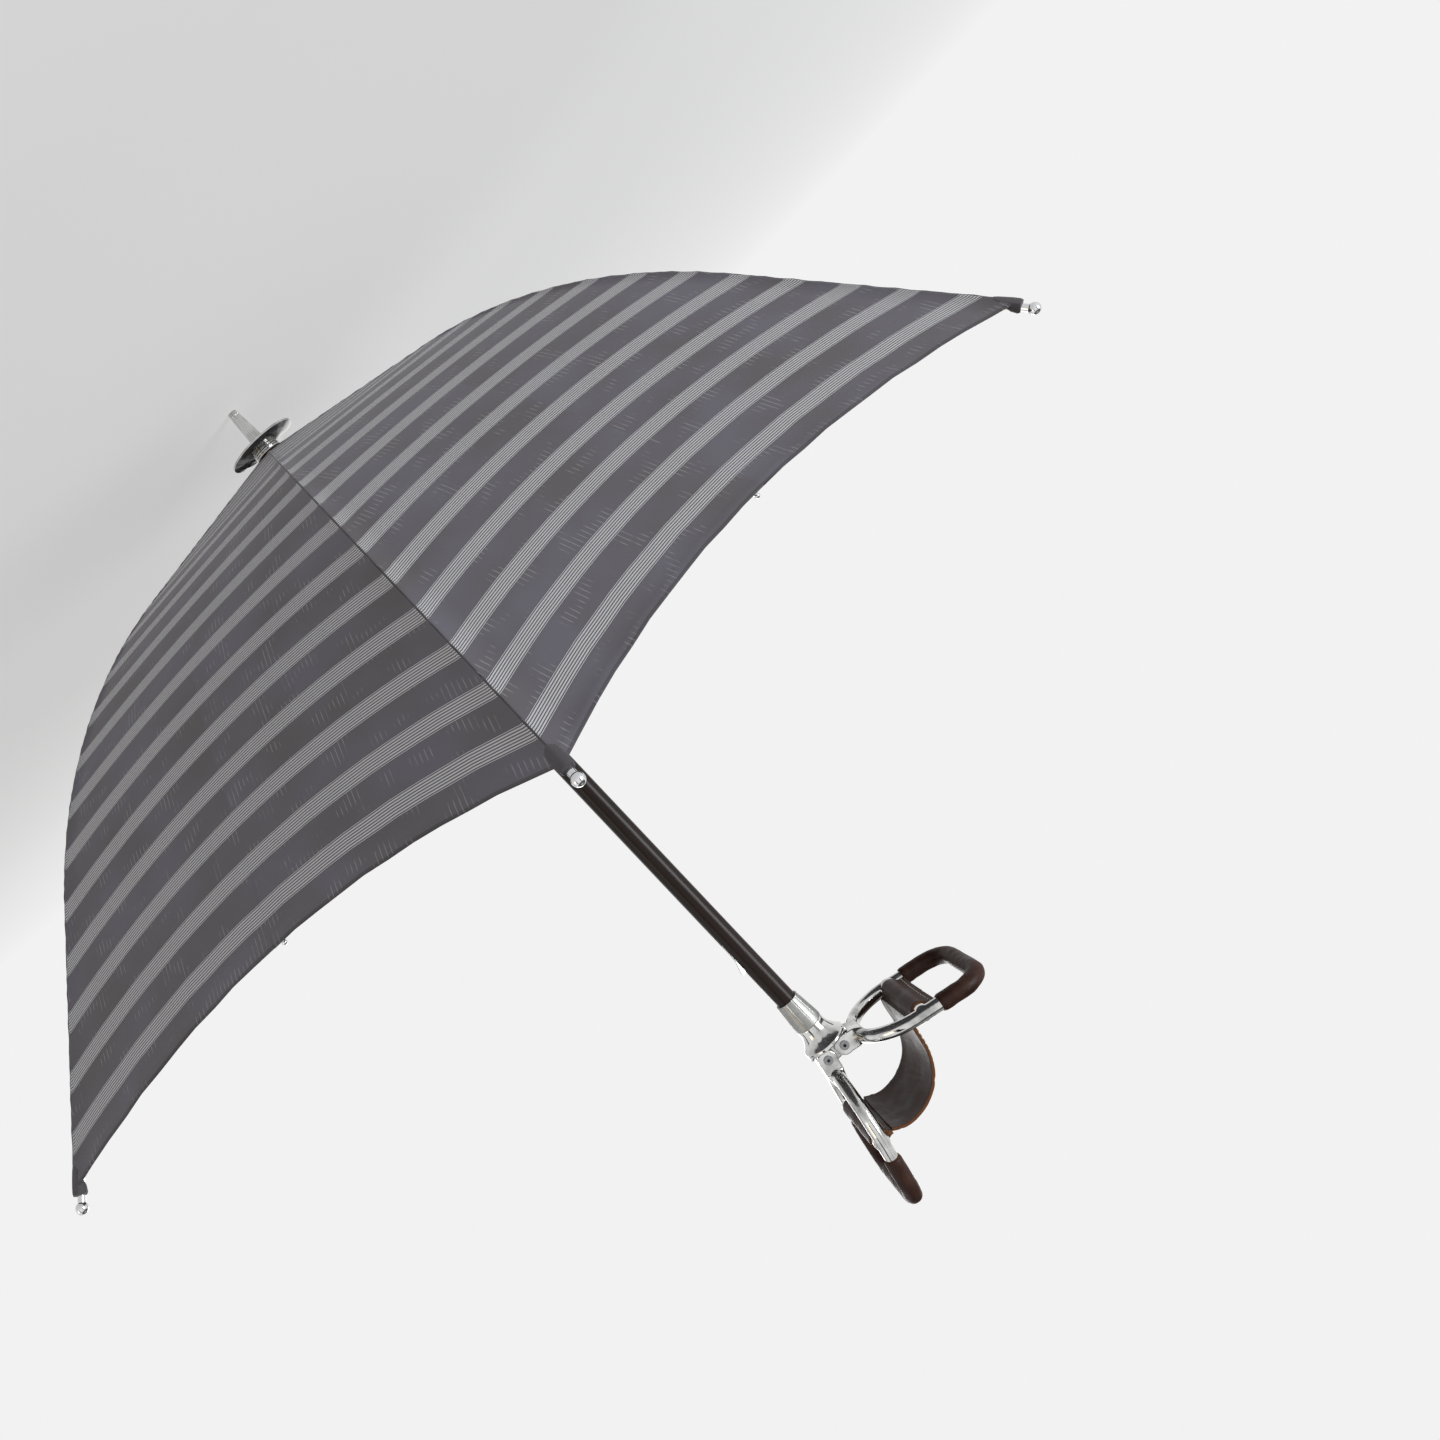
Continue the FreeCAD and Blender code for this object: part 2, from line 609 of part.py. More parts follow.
def hub():
    """Cast bowl, with a tongue between the arms' ears and a shoulder for each arm."""
    ledge = PIVOT_Z - LEDGE_DROP
    rim = ledge - BOWL_RIM
    foot = rim - BOWL_HEIGHT + BOWL_RIM
    halfway = V(NECK_R + BOWL_FLARE, 0, (foot + rim) / 2)
    flare = Part.Arc(V(NECK_R, 0, foot), halfway, V(BOWL_R, 0, rim))
    edges = [
        Part.LineSegment(V(0, 0, HUB_FOOT), V(NECK_R, 0, HUB_FOOT)).toShape(),
        Part.LineSegment(V(NECK_R, 0, HUB_FOOT), V(NECK_R, 0, foot)).toShape(),
        flare.toShape(),
        Part.LineSegment(V(BOWL_R, 0, rim), V(BOWL_R, 0, ledge)).toShape(),
        Part.LineSegment(V(BOWL_R, 0, ledge), V(0, 0, ledge)).toShape(),
        Part.LineSegment(V(0, 0, ledge), V(0, 0, HUB_FOOT)).toShape(),
    ]
    body = Part.Face(Part.Wire(edges)).revolve(O, Z, 360)
    bore = cylinder(SHAFT_R + SEAT_GAP, SHAFT_TOP - HUB_FOOT + CUT, V(0, 0, HUB_FOOT - CUT), Z)
    for side in (-1, 1):
        disc = cylinder(BOSS_R, 2 * TONGUE_HALF, V(side * PIVOT_X, -TONGUE_HALF, PIVOT_Z), Y)
        body = body.fuse(disc).fuse(stop_pad(side))
    tongue = box_between(
        V(-PIVOT_X, -TONGUE_HALF, ledge - CUT), V(PIVOT_X, TONGUE_HALF, PIVOT_Z + BOSS_R - TONGUE_DROP)
    )
    body = body.fuse(tongue).cut(bore)
    for side in (-1, 1):
        hole = cylinder(RIVET_R, 4 * TONGUE_HALF, V(side * PIVOT_X, -2 * TONGUE_HALF, PIVOT_Z), Y)
        body = body.cut(hole)
    return body.removeSplitter()


def pivot_rivet(side):
    """Hollow rivet with a flat head at each end."""
    reach = HUB_HALF + RUN_GAP
    at = V(side * PIVOT_X, 0, PIVOT_Z)
    body = cylinder(RIVET_R, 2 * reach, at - Y * reach, Y)
    for y in (-reach - RIVET_HEAD, reach):
        body = body.fuse(cylinder(RIVET_HEAD_R, RIVET_HEAD, at + Y * y, Y))
    bore = cylinder(RIVET_BORE_R, 4 * HUB_HALF, at - Y * 2 * HUB_HALF, Y)
    return body.cut(bore).removeSplitter()


def set_arm(shape, side):
    """Turns a shape made on an upright arm, with its pivot at the origin, to the arm's place."""
    angle = FRONT_ANGLE if side < 0 else REAR_ANGLE
    return shape.rotated(O, Y, side * angle).translated(V(side * PIVOT_X, 0, PIVOT_Z))


def loop_path(part):
    """Half of an arm's line for y above 0, from its foot: the bow and leg, or the grip's run."""
    half = BOW_R
    shoulder = ARM_LENGTH - CORNER_R
    turn = math.radians(45)
    if part == "bow":
        first = V(0, 0, BOW_CENTRE - BOW_R)
        middle = V(0, BOW_R * math.sin(turn), BOW_CENTRE - BOW_R * math.cos(turn))
        return [
            Part.Arc(first, middle, V(0, half, BOW_CENTRE)).toShape(),
            Part.LineSegment(V(0, half, BOW_CENTRE), V(0, half, GRIP_START)).toShape(),
        ]
    corner_mid = V(0, half - CORNER_R + CORNER_R * math.sin(turn), shoulder + CORNER_R * math.sin(turn))
    return [
        Part.LineSegment(V(0, half, GRIP_START), V(0, half, shoulder)).toShape(),
        Part.Arc(V(0, half, shoulder), corner_mid, V(0, half - CORNER_R, ARM_LENGTH)).toShape(),
        Part.LineSegment(V(0, half - CORNER_R, ARM_LENGTH), V(0, 0, ARM_LENGTH)).toShape(),
    ]


def rod(path, radius, start, direction):
    ring = Part.Wire(Part.makeCircle(radius, start, direction))
    return Part.Wire(path).makePipeShell([ring], True, False)


def both_sides(shape):
    return shape.fuse(shape.mirror(O, Y))


def rounded_block(points, height):
    """Wire of a rounded rectangle, half as large as given along X and Y."""
    hx, hy, r = points
    corners = []
    edges = []
    for sx, sy in ((1, 1), (-1, 1), (-1, -1), (1, -1)):
        corners.append((V(sx * (hx - r), sy * (hy - r), height), sx, sy))
    for n, (c, sx, sy) in enumerate(corners):
        a = c + (V(r * sx, 0, 0) if n % 2 == 0 else V(0, r * sy, 0))
        b = c + (V(0, r * sy, 0) if n % 2 == 0 else V(r * sx, 0, 0))
        m = c + V(sx, sy, 0) * (r * math.sqrt(0.5))
        edges.append((a, m, b))
    wire = []
    for n, (a, m, b) in enumerate(edges):
        wire.append(Part.Arc(a, m, b).toShape())
        wire.append(Part.LineSegment(b, edges[(n + 1) % 4][0]).toShape())
    return Part.Wire(wire)


def arm(side):
    """Cast wishbone: two ears, a block that spreads into a bowed loop, and the cross-bar with its lugs."""
    body = rod(loop_path("bow"), ROD_R, V(0, 0, BOW_CENTRE - BOW_R), Y)
    body = body.fuse(rod(loop_path("grip"), ROD_R, V(0, BOW_R, GRIP_START), Z))
    body = both_sides(body)
    waist = (BLOCK_START + BLOCK_END) / 2 - BLOCK_WAIST_BACK
    block = Part.makeLoft([
        rounded_block((BLOCK_HALF, HUB_HALF, BLOCK_EDGE_R), BLOCK_START),
        rounded_block((BLOCK_WAIST_HALF, BLOCK_WAIST_SPREAD, BLOCK_WAIST_EDGE_R), waist),
        rounded_block((ROD_R, BLOCK_SPREAD, BLOCK_END_EDGE_R), BLOCK_END - BLOCK_LAP),
    ], True, False)
    hollow = cylinder(BOW_R - ROD_R, 4 * BOSS_R, V(-2 * BOSS_R, 0, BOW_CENTRE), X)
    body = body.fuse(block.cut(hollow))
    neck = box_between(V(-BLOCK_HALF, -HUB_HALF, 0), V(BLOCK_HALF, HUB_HALF, BLOCK_START + BLOCK_LAP))
    ears = cylinder(BOSS_R, 2 * HUB_HALF, V(0, -HUB_HALF, 0), Y).fuse(neck)
    body = body.fuse(ears)
    gap = TONGUE_HALF + SIDE_GAP
    slot = box_between(V(-BOSS_R * 2, -gap, -BOSS_R * 2), V(BOSS_R * 2, gap, BOSS_R + SIDE_GAP))
    body = body.cut(slot)
    body = body.cut(cylinder(RIVET_R + RUN_GAP, 4 * HUB_HALF, V(0, -2 * HUB_HALF, 0), Y))
    body = body.fuse(cylinder(BAR_R, 2 * BOW_R, V(0, -BOW_R, BAR_AT), Y))
    for y in (-BOW_R, BOW_R - BAR_LUG):
        body = body.fuse(cylinder(BAR_LUG_R, BAR_LUG, V(0, y, BAR_AT), Y))
    return set_arm(body.removeSplitter(), side)


def grip(side):
    """Laced leather tube round the far half of an arm's loop."""
    start = V(0, BOW_R, GRIP_START)
    outer = rod(loop_path("grip"), GRIP_R, start, Z)
    inner = rod(loop_path("grip"), ROD_R, start, Z)
    return set_arm(both_sides(outer.cut(inner)).removeSplitter(), side)


def sleeve(side):
    """Leather folded round the cross-bar, its two layers sewn together beyond it as a flap."""
    body = cylinder(SLEEVE_R, 2 * SLEEVE_HALF, V(0, -SLEEVE_HALF, BAR_AT), Y)
    flap = box_between(
        V(-FLAP / 2, -SLEEVE_HALF, BAR_AT), V(FLAP / 2, SLEEVE_HALF, BAR_AT + FLAP_REACH)
    )
    body = body.fuse(flap)
    body = body.cut(cylinder(BAR_R, 4 * SLEEVE_HALF, V(0, -2 * SLEEVE_HALF, BAR_AT), Y))
    return set_arm(body.removeSplitter(), side)


def bar_point(side):
    """Middle of an arm's cross-bar in the frame."""
    angle = math.radians(FRONT_ANGLE if side < 0 else REAR_ANGLE)
    return V(side * (PIVOT_X + BAR_AT * math.sin(angle)), 0, PIVOT_Z + BAR_AT * math.cos(angle))


def sling():
    """Leather seat: from the front sleeve it stands up, arches over the hub and reaches the rear sleeve."""
    centre = V(ARCH_X, 0, PIVOT_Z + ARCH_Z)
    end = math.radians(ARCH_END)
    half = SLING / 2
    sides = []
    for radius in (ARCH_R + half, ARCH_R - half):
        start = centre + V(-radius, 0, 0)
        top = centre + V(-radius * math.sqrt(0.5), 0, radius * math.sqrt(0.5))
        leave = centre + V(radius * math.cos(end), 0, radius * math.sin(end))
        sides.append((start, top, leave))
    front, rear = bar_point(-1), bar_point(1)
    reach = SLEEVE_R + SIDE_GAP
    front_in = front + upright(SLING_FRONT_NEAR) * reach
    front_out = front + upright(SLING_FRONT_FAR) * reach
    rear_top = rear + upright(SLING_REAR_TOP) * (reach + SLING)
    rear_low = rear + upright(SLING_REAR_LOW) * reach
    (a, b, c), (d, e, f) = sides
    edges = [
        Part.LineSegment(front_out, a).toShape(), Part.Arc(a, b, c).toShape(),
        Part.LineSegment(c, rear_top).toShape(), Part.LineSegment(rear_top, rear_low).toShape(),
        Part.LineSegment(rear_low, f).toShape(), Part.Arc(f, e, d).toShape(),
        Part.LineSegment(d, front_in).toShape(), Part.LineSegment(front_in, front_out).toShape(),
    ]
    face = Part.Face(Part.Wire(edges))
    return face.extrude(Y * 2 * SLING_HALF).translated(Y * -SLING_HALF)


save("spike", spike())
save("ground_disc", ground_disc())
save("disc_collar", disc_collar())
save("apex_washer", tube(WASHER_R, SHAFT_R + SEAT_GAP, WASHER_HEIGHT, V(0, 0, WASHER_Z)))
save("shaft", shaft())
save("notch_ring", hinge_ring(HINGE.z))
save("notch_wire", torus(HINGE_RING_R, WIRE_R, HINGE.z))
save("runner", runner())
save("runner_wire", torus(HINGE_RING_R, WIRE_R, RUNNER_Z))
save("runner_stop_pin", stop_pin())
save("top_spring", spring(TOP_SPRING_Z, 1))
save("hand_spring", spring(HAND_SPRING_Z, -1))
save("hub_socket", hub_socket())
save("socket_pin", socket_pin())
save("hub", hub())
for word, side in (("front", -1), ("rear", 1)):
    save(f"{word}_rivet", pivot_rivet(side))
    save(f"{word}_arm", arm(side))
    save(f"{word}_grip", grip(side))
    save(f"{word}_sleeve", sleeve(side))
save("sling", sling())
for k in range(RIBS):
    save(f"rib_{k + 1}", rib(k))
    save(f"rib_tip_{k + 1}", rib_tip(k))
    bar, joint_rivet = stretcher(k)
    save(f"stretcher_{k + 1}", bar)
    save(f"joint_rivet_{k + 1}", joint_rivet)
save("canopy", *[gore(k) for k in range(RIBS)])

print(f"rib hinge {HINGE.x:.3f} {HINGE.z:.3f}, joint {JOINT.x:.3f} {JOINT.z:.3f}, rise {RIB_RISE:.3f}")
print(f"runner open {RUNNER_Z:.3f}, shut {RUNNER_SHUT_Z:.3f}, hand spring {HAND_SPRING_Z:.3f}")
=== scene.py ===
"""Seat stick with an umbrella round its shaft: finishes and soft parts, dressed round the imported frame."""
import json
import math
import random

import bmesh
import bpy
from mathutils import Matrix, Vector, noise


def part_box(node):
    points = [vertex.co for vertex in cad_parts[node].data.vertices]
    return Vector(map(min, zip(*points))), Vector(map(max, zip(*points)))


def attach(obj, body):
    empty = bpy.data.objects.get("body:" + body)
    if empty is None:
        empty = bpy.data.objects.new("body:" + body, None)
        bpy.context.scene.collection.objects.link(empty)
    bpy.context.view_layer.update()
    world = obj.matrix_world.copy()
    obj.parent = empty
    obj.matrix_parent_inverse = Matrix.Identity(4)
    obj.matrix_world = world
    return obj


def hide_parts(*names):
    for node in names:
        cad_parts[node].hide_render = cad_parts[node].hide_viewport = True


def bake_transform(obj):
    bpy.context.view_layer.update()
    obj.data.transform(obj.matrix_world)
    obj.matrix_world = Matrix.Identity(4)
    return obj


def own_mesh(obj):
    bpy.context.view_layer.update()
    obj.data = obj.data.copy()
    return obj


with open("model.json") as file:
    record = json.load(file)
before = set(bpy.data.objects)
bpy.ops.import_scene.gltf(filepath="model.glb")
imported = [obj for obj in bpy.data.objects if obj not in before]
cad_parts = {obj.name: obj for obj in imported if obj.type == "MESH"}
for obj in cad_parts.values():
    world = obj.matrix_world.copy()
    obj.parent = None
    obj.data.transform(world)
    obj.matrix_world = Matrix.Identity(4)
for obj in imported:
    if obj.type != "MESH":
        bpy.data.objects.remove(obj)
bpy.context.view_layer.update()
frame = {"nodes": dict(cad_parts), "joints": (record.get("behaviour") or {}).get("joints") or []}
MM = 0.001
nodes = frame["nodes"]
joints = {joint["name"]: joint for joint in frame["joints"]}
RIBS = 8

# Canopy, as cut
APEX_R = 13.5 * MM
KNEE_R = 200.0 * MM
INNER_SLOPE = math.radians(16.0)
OUTER_SLOPE = math.radians(49.0)
BEND_R = 440.0 * MM
TIP_R = 529.0 * MM
HEM_BACK = 9.0 * MM
HEM_SAG = 34.0 * MM
GORE_DIP = 0.4 * MM
CLOTH = 0.5 * MM
SEAM_WIDTH = 2.0 * MM
SEAM_RISE = 0.35 * MM
SEAM_BINDING = 0.6 * MM
SEAM_SHOULDER = 0.3 * MM
HEM_WIDTH = 7.0 * MM
HEM_EDGE = 1.6 * MM
HEM_FOLD = 0.5 * MM
HEM_RISE = 0.3 * MM
HEM_UNDER = 0.25 * MM
HEM_WAVE = 0.5 * MM
HEM_WAVE_PITCH = 47.0 * MM
CLOTH_ROWS = 72
CLOTH_COLUMNS = 14
HEM_ROWS = 4
PUCKER = 0.3 * MM
PUCKER_PITCH = 21.0 * MM
PUCKER_REACH = 9.0 * MM
# Metres between the ribs' places in the cloth's pattern, so that no two panels show the same slubs
CUT_SPACING = 0.7
STRIPE_PITCH = 34.0 * MM
HEM_TO_STRIPE = 25.0 * MM
STRIPE_LINES = 7
SLUB_PITCH = 3.4 * MM
PINSTRIPE_PITCH = 1.8 * MM
# Cloth pocket on a rib's end: place from the tip, half width, height above and below the face, in mm
TAB_STATIONS = [
    (-23.0, 1.5, 0.5, 0.6), (-20.5, 3.9, 0.8, 1.2), (-16.0, 4.5, 1.0, 3.4),
    (-12.0, 4.5, 1.1, 6.0), (-8.2, 4.2, 1.0, 7.0), (-7.0, 3.6, 0.6, 6.6),
]
TAB_POINTS = 24
TAB_CORNERS = 0.7
TAB_DROOP = 0.35

# Seat arms, along the arm from its pivot
ARM_ANGLES = {"front": math.radians(80.0), "rear": math.radians(12.0)}
SIDES = {"front": -1, "rear": 1}
BAR_AT = 66.0 * MM
BAR_R = 4.6 * MM
LEG_Y = 47.5 * MM
CORNER_R = 23.0 * MM
ARM_LENGTH = 124.0 * MM
ROD_R = 5.9 * MM
GRIP_R = 7.6 * MM
GRIP_START = 81.0 * MM
LACE_PITCH = 8.6 * MM
CAST_GRAIN = 0.65 * MM
POLISH_ROUNDS = 9
GRIP_SPACING = 0.9 * MM
GRIP_POINTS = 56
# Laced seam round the grip: where it starts, how far it winds, and its groove and puckers in mm and radians
SEAM_START, SEAM_WIND = 28, 120
GROOVE_DEPTH, GROOVE_HALF = 1.1, 0.13
PUCKER_HEIGHT, PUCKER_HALF = 0.85, 0.55
RUB_HEIGHT, END_ROUND = 0.35, 0.7
FRAY_ENDS = 18
FRAY_REACH = 1.3

# Leather
SLEEVE_R = 8.2 * MM
SLEEVE_HALF = 39.5 * MM
FLAP_TIP = 15.6 * MM
FLAP_HALF = 2.3 * MM
LIP_TIP = 12.6 * MM
LIP_HALF = 1.9 * MM
LIP_TURN = {"front": math.radians(158.0), "rear": math.radians(88.0)}
STRAP = 2.8 * MM
STRAP_HALF = 40.0 * MM
STITCH_PITCH = 5.0 * MM
STITCH_INSET = 5.0 * MM
# Length, width and height of each thread's stitches
LACING = (7.2 * MM, 1.2 * MM, 1.3 * MM)
FRAY = (2.6 * MM, 0.4 * MM, 0.4 * MM)
FLAP_THREAD = (3.7 * MM, 0.95 * MM, 0.8 * MM)
PATCH_THREAD = (2.7 * MM, 0.6 * MM, 0.5 * MM)
SLING_THREAD = (3.9 * MM, 1.0 * MM, 0.85 * MM)
WRAP_BLEND = 4.2 * MM
FLAP_BOW = 0.9 * MM
SLEEVE_POINTS = 96
SLEEVE_COLUMNS = 64
PATCH_TURNS = (math.radians(20), math.radians(112))
PATCH_HALF = 33.0 * MM
PATCH_MARKS = 22
SLING_SPACING = 1.2 * MM
SLING_POINTS = 52
EDGE_POINTS = 5
EDGE_BULGE = 0.5 * MM
EDGE_FUZZ = 0.45 * MM
EDGE_FIBRE = 1.3 * MM
# Creases across the sling: place along it, depth in mm, and slant in mm
CREASES = [(0.55, 0.55, 9.0), (0.61, 0.4, 14.0), (0.5, 0.3, 4.0), (0.93, 0.7, 0.0)]
CREASE_HALF = 1.5 * MM
# Sling's middle line across its arch, in X and in height above the pivots, in mm
SLING_LINE = [
    (-63.5, 13.2), (-61.2, 20.0), (-60.0, 29.0), (-57.6, 39.5), (-53.0, 50.5), (-46.0, 60.0), (-37.0, 67.2),
    (-25.0, 72.4), (-13.0, 74.3), (-2.0, 73.4), (5.5, 70.6), (10.5, 67.0),
]
SLING_MIDDLE_X = -25.0 * MM

# Studio, in metres. Black flags, each at x, y with its width, stand where only metal reflects them.
# Each lamp has its place, power in watts, size and colour.
BACKDROP = "#f2f2f2"
SKY_LIGHT = 0.36
FLAGS = [
    (-2.6, -1.2, 0.5), (-0.9, -2.8, 0.35), (1.9, -2.2, 0.6),
    (2.8, 0.9, 0.5), (0.4, 2.9, 0.6), (-2.4, 1.6, 0.5),
]
FLAG_FOOT, FLAG_TOP = 0.15, 2.6
LAMPS = [
    ("key", (-2.4, -1.9, 1.1), 68, 1.6, (0.96, 0.98, 1.0)),
    ("fill", (2.4, -1.6, 0.6), 6, 1.2, (1.0, 0.72, 0.45)),
    ("back", (0.6, 2.4, 2.0), 22, 1.4, (1.0, 1.0, 1.0)),
]
LAMP_AIM = Vector((0, 0, 0.4))
# Half the floor's side, and the distances between which it turns as bright as the sky
FLOOR_REACH, FADE_FROM, FADE_TO = 14.0, 0.5, 2.6
# Sky, from straight down at 0 to straight up at 1: pale as far up as the camera sees, then a dark ceiling
# that shows in polished metal, with a light at its middle
CEILING = ((0.88, 0.12), (0.97, 0.08), (1.0, 0.5))
PALE_TO = 0.85
# Camera, level with the stick, which leans across the picture
LENS, SHIFT_X, SHIFT_Y = 32.25, 0.164, -0.028
CAMERA_LEAN = math.radians(43.38)
CAMERA_PLACE = (0, -1.104, 0.314)


def tint(hex_code):
    """An sRGB hex colour as linear red, green, blue and alpha."""
    values = [int(hex_code[n:n + 2], 16) / 255 for n in (1, 3, 5)]
    return [v / 12.92 if v <= 0.04045 else ((v + 0.055) / 1.055) ** 2.4 for v in values] + [1.0]


def add(tree, kind, inputs=(), **settings):
    """Adds a node with its settings. Inputs give each socket a value or the output that feeds it."""
    node = tree.nodes.new(kind)
    for name, value in settings.items():
        setattr(node, name, value)
    for name, value in dict(inputs).items():
        socket = node.inputs[name]
        if isinstance(value, bpy.types.NodeSocket):
            tree.links.new(value, socket)
        else:
            socket.default_value = value
    return node


def new_material(name, **shader_values):
    """A material with a Principled shader, set by its sockets' names."""
    material = bpy.data.materials.new(name)
    material.use_nodes = True
    tree = material.node_tree
    shader = tree.nodes["Principled BSDF"]
    for socket, value in shader_values.items():
        shader.inputs[socket.replace("_", " ")].default_value = value
    return material, tree, shader


def object_space(tree, stretch=(1, 1, 1)):
    """Object coordinates, stretched."""
    where = add(tree, "ShaderNodeTexCoord").outputs["Object"]
    return add(tree, "ShaderNodeMapping", {"Vector": where, "Scale": stretch}).outputs["Vector"]


def blend_colours(tree, factor, first, second):
    """Two colours mixed by a factor socket."""
    return add(tree, "ShaderNodeMix", {0: factor, 6: first, 7: second}, data_type="RGBA").outputs[2]


def spread(tree, value, low, high, to_low=0.0, to_high=1.0):
    """A value's range from low to high, spread over another range."""
    limits = {"Value": value, "From Min": low, "From Max": high, "To Min": to_low, "To Max": to_high}
    return add(tree, "ShaderNodeMapRange", limits).outputs["Result"]


def calculate(tree, operation, first, second=0.0):
    """Arithmetic on sockets or numbers."""
    return add(tree, "ShaderNodeMath", {0: first, 1: second}, operation=operation).outputs[0]


def bumped(tree, shader, height, distance, strength=1.0, under=None):
    """Bump from a height, over any bump under it."""
    inputs = {"Height": height, "Distance": distance, "Strength": strength}
    if under is not None:
        inputs["Normal"] = under
    normal = add(tree, "ShaderNodeBump", inputs).outputs["Normal"]
    tree.links.new(normal, shader.inputs["Normal"])
    return normal


def noise_of(tree, size, stretch=(1, 1, 1), detail=3.0, rough=0.5):
    """Noise whose features are about size metres across."""
    inputs = {"Vector": object_space(tree, stretch), "Scale": 1 / size, "Detail": detail, "Roughness": rough}
    return add(tree, "ShaderNodeTexNoise", inputs).outputs["Fac"]


def polished_alloy():
    """Sand-cast aluminium, buffed: mirror bright and a little wavy, duller where the mop can't reach."""
    material, tree, shader = new_material("polished_aluminium", Metallic=1.0)
    cloud = noise_of(tree, 14 * MM, detail=5)
    dull = spread(tree, cloud, 0.42, 0.68)
    colour = blend_colours(tree, dull, tint("#dcdcda"), tint("#a9aaa8"))
    tree.links.new(colour, shader.inputs["Base Color"])
    tree.links.new(spread(tree, cloud, 0.35, 0.75, 0.09, 0.24), shader.inputs["Roughness"])
    wave = bumped(tree, shader, noise_of(tree, 9 * MM), 0.35 * MM, 0.5)
    bumped(tree, shader, noise_of(tree, 0.7 * MM, (1, 0.25, 1)), 0.02 * MM, 0.6, wave)
    return material


def matt_casting():
    """Die-cast alloy as it left the mould: dull grey with a fine grain."""
    material, tree, shader = new_material("cast_alloy", Metallic=1.0)
    colour = blend_colours(tree, noise_of(tree, 6 * MM), tint("#8f908e"), tint("#b4b5b2"))
    tree.links.new(colour, shader.inputs["Base Color"])
    tree.links.new(spread(tree, noise_of(tree, 3 * MM), 0.3, 0.7, 0.38, 0.52), shader.inputs["Roughness"])
    bumped(tree, shader, noise_of(tree, 0.5 * MM), 0.05 * MM, 0.8)
    return material


def shaft_enamel():
    """Stoved brown enamel over steel tube: deep, satin, with faint drawn lines along the tube."""
    material, tree, shader = new_material(
        "brown_enamel", Roughness=0.36, Specular_IOR_Level=0.2, Coat_Weight=0.1, Coat_Roughness=0.12
    )
    lines = noise_of(tree, 1.4 * MM, (1, 1, 0.03))
    colour = blend_colours(tree, spread(tree, lines, 0.35, 0.7), tint("#180d08"), tint("#22130c"))
    tree.links.new(colour, shader.inputs["Base Color"])
    bumped(tree, shader, lines, 0.03 * MM, 0.5)
    return material


def plated_steel():
    """Rolled steel strip, zinc plated: bright grey with faint lines from the rolls."""
    material, tree, shader = new_material("zinc_plated_steel", Metallic=1.0)
    lines = noise_of(tree, 0.9 * MM, (0.15, 1, 0.15))
    colour = blend_colours(tree, lines, tint("#a0a1a0"), tint("#bcbdbb"))
    tree.links.new(colour, shader.inputs["Base Color"])
    tree.links.new(spread(tree, lines, 0.3, 0.7, 0.2, 0.36), shader.inputs["Roughness"])
    return material


def chrome_plate():
    """Chromed brass: a clean mirror, with the softest polish haze."""
    material, tree, shader = new_material("chrome_plate", Metallic=1.0)
    shader.inputs["Base Color"].default_value = tint("#e4e5e6")
    tree.links.new(spread(tree, noise_of(tree, 2 * MM), 0.3, 0.7, 0.05, 0.11), shader.inputs["Roughness"])
    return material


def turned_rivet():
    """Hollow steel rivet, turned and spun over: grey with fine rings and a dark bore."""
    material, tree, shader = new_material("turned_steel", Metallic=1.0)
    colour = blend_colours(tree, noise_of(tree, 1.5 * MM), tint("#77787a"), tint("#a6a7a8"))
    tree.links.new(colour, shader.inputs["Base Color"])
    shader.inputs["Roughness"].default_value = 0.3
    bumped(tree, shader, noise_of(tree, 0.4 * MM), 0.02 * MM)
    return material


def grain_leather():
    """Waxed, drum-dyed cowhide: near-black chocolate with a pebble grain, paler where it is rubbed."""
    material, tree, shader = new_material("waxed_leather", Specular_IOR_Level=0.2)
    cloud = noise_of(tree, 16 * MM, detail=6)
    ground = blend_colours(tree, spread(tree, cloud, 0.3, 0.7), tint("#26140e"), tint("#3f261d"))
    worn = spread(tree, noise_of(tree, 5 * MM, detail=8, rough=0.7), 0.58, 0.72, 0.0, 0.55)
    colour = blend_colours(tree, worn, ground, tint("#573629"))
    tree.links.new(colour, shader.inputs["Base Color"])
    tree.links.new(spread(tree, cloud, 0.3, 0.7, 0.4, 0.58), shader.inputs["Roughness"])
    cells = {"Vector": object_space(tree), "Scale": 1 / (0.9 * MM)}
    pebble = add(tree, "ShaderNodeTexVoronoi", cells, feature="SMOOTH_F1").outputs["Distance"]
    crease = noise_of(tree, 4 * MM, (1, 0.3, 1), detail=6, rough=0.65)
    wrinkled = bumped(tree, shader, crease, 0.5 * MM, 0.45)
    bumped(tree, shader, pebble, 0.07 * MM, 0.5, wrinkled)
    return material


def raw_edge():
    """Cut edge of undyed cowhide: tan, fibrous and matt."""
    material, tree, shader = new_material("raw_leather_edge", Roughness=0.95)
    fibres = noise_of(tree, 0.8 * MM, (0.35, 0.35, 1), detail=8, rough=0.75)
    colour = blend_colours(tree, spread(tree, fibres, 0.3, 0.7), tint("#3d2415"), tint("#7a4d2a"))
    tree.links.new(colour, shader.inputs["Base Color"])
    bumped(tree, shader, fibres, 0.4 * MM, 0.9)
    return material


def waxed_thread(name, dark, light):
    """Twisted linen thread pulled through wax: its plies show as fine slanting ridges."""
    material, tree, shader = new_material(name, Roughness=0.7)
    ply = noise_of(tree, 0.5 * MM, (1, 1, 1.6))
    tree.links.new(blend_colours(tree, ply, tint(dark), tint(light)), shader.inputs["Base Color"])
    bumped(tree, shader, ply, 0.12 * MM, 0.8)
    return material


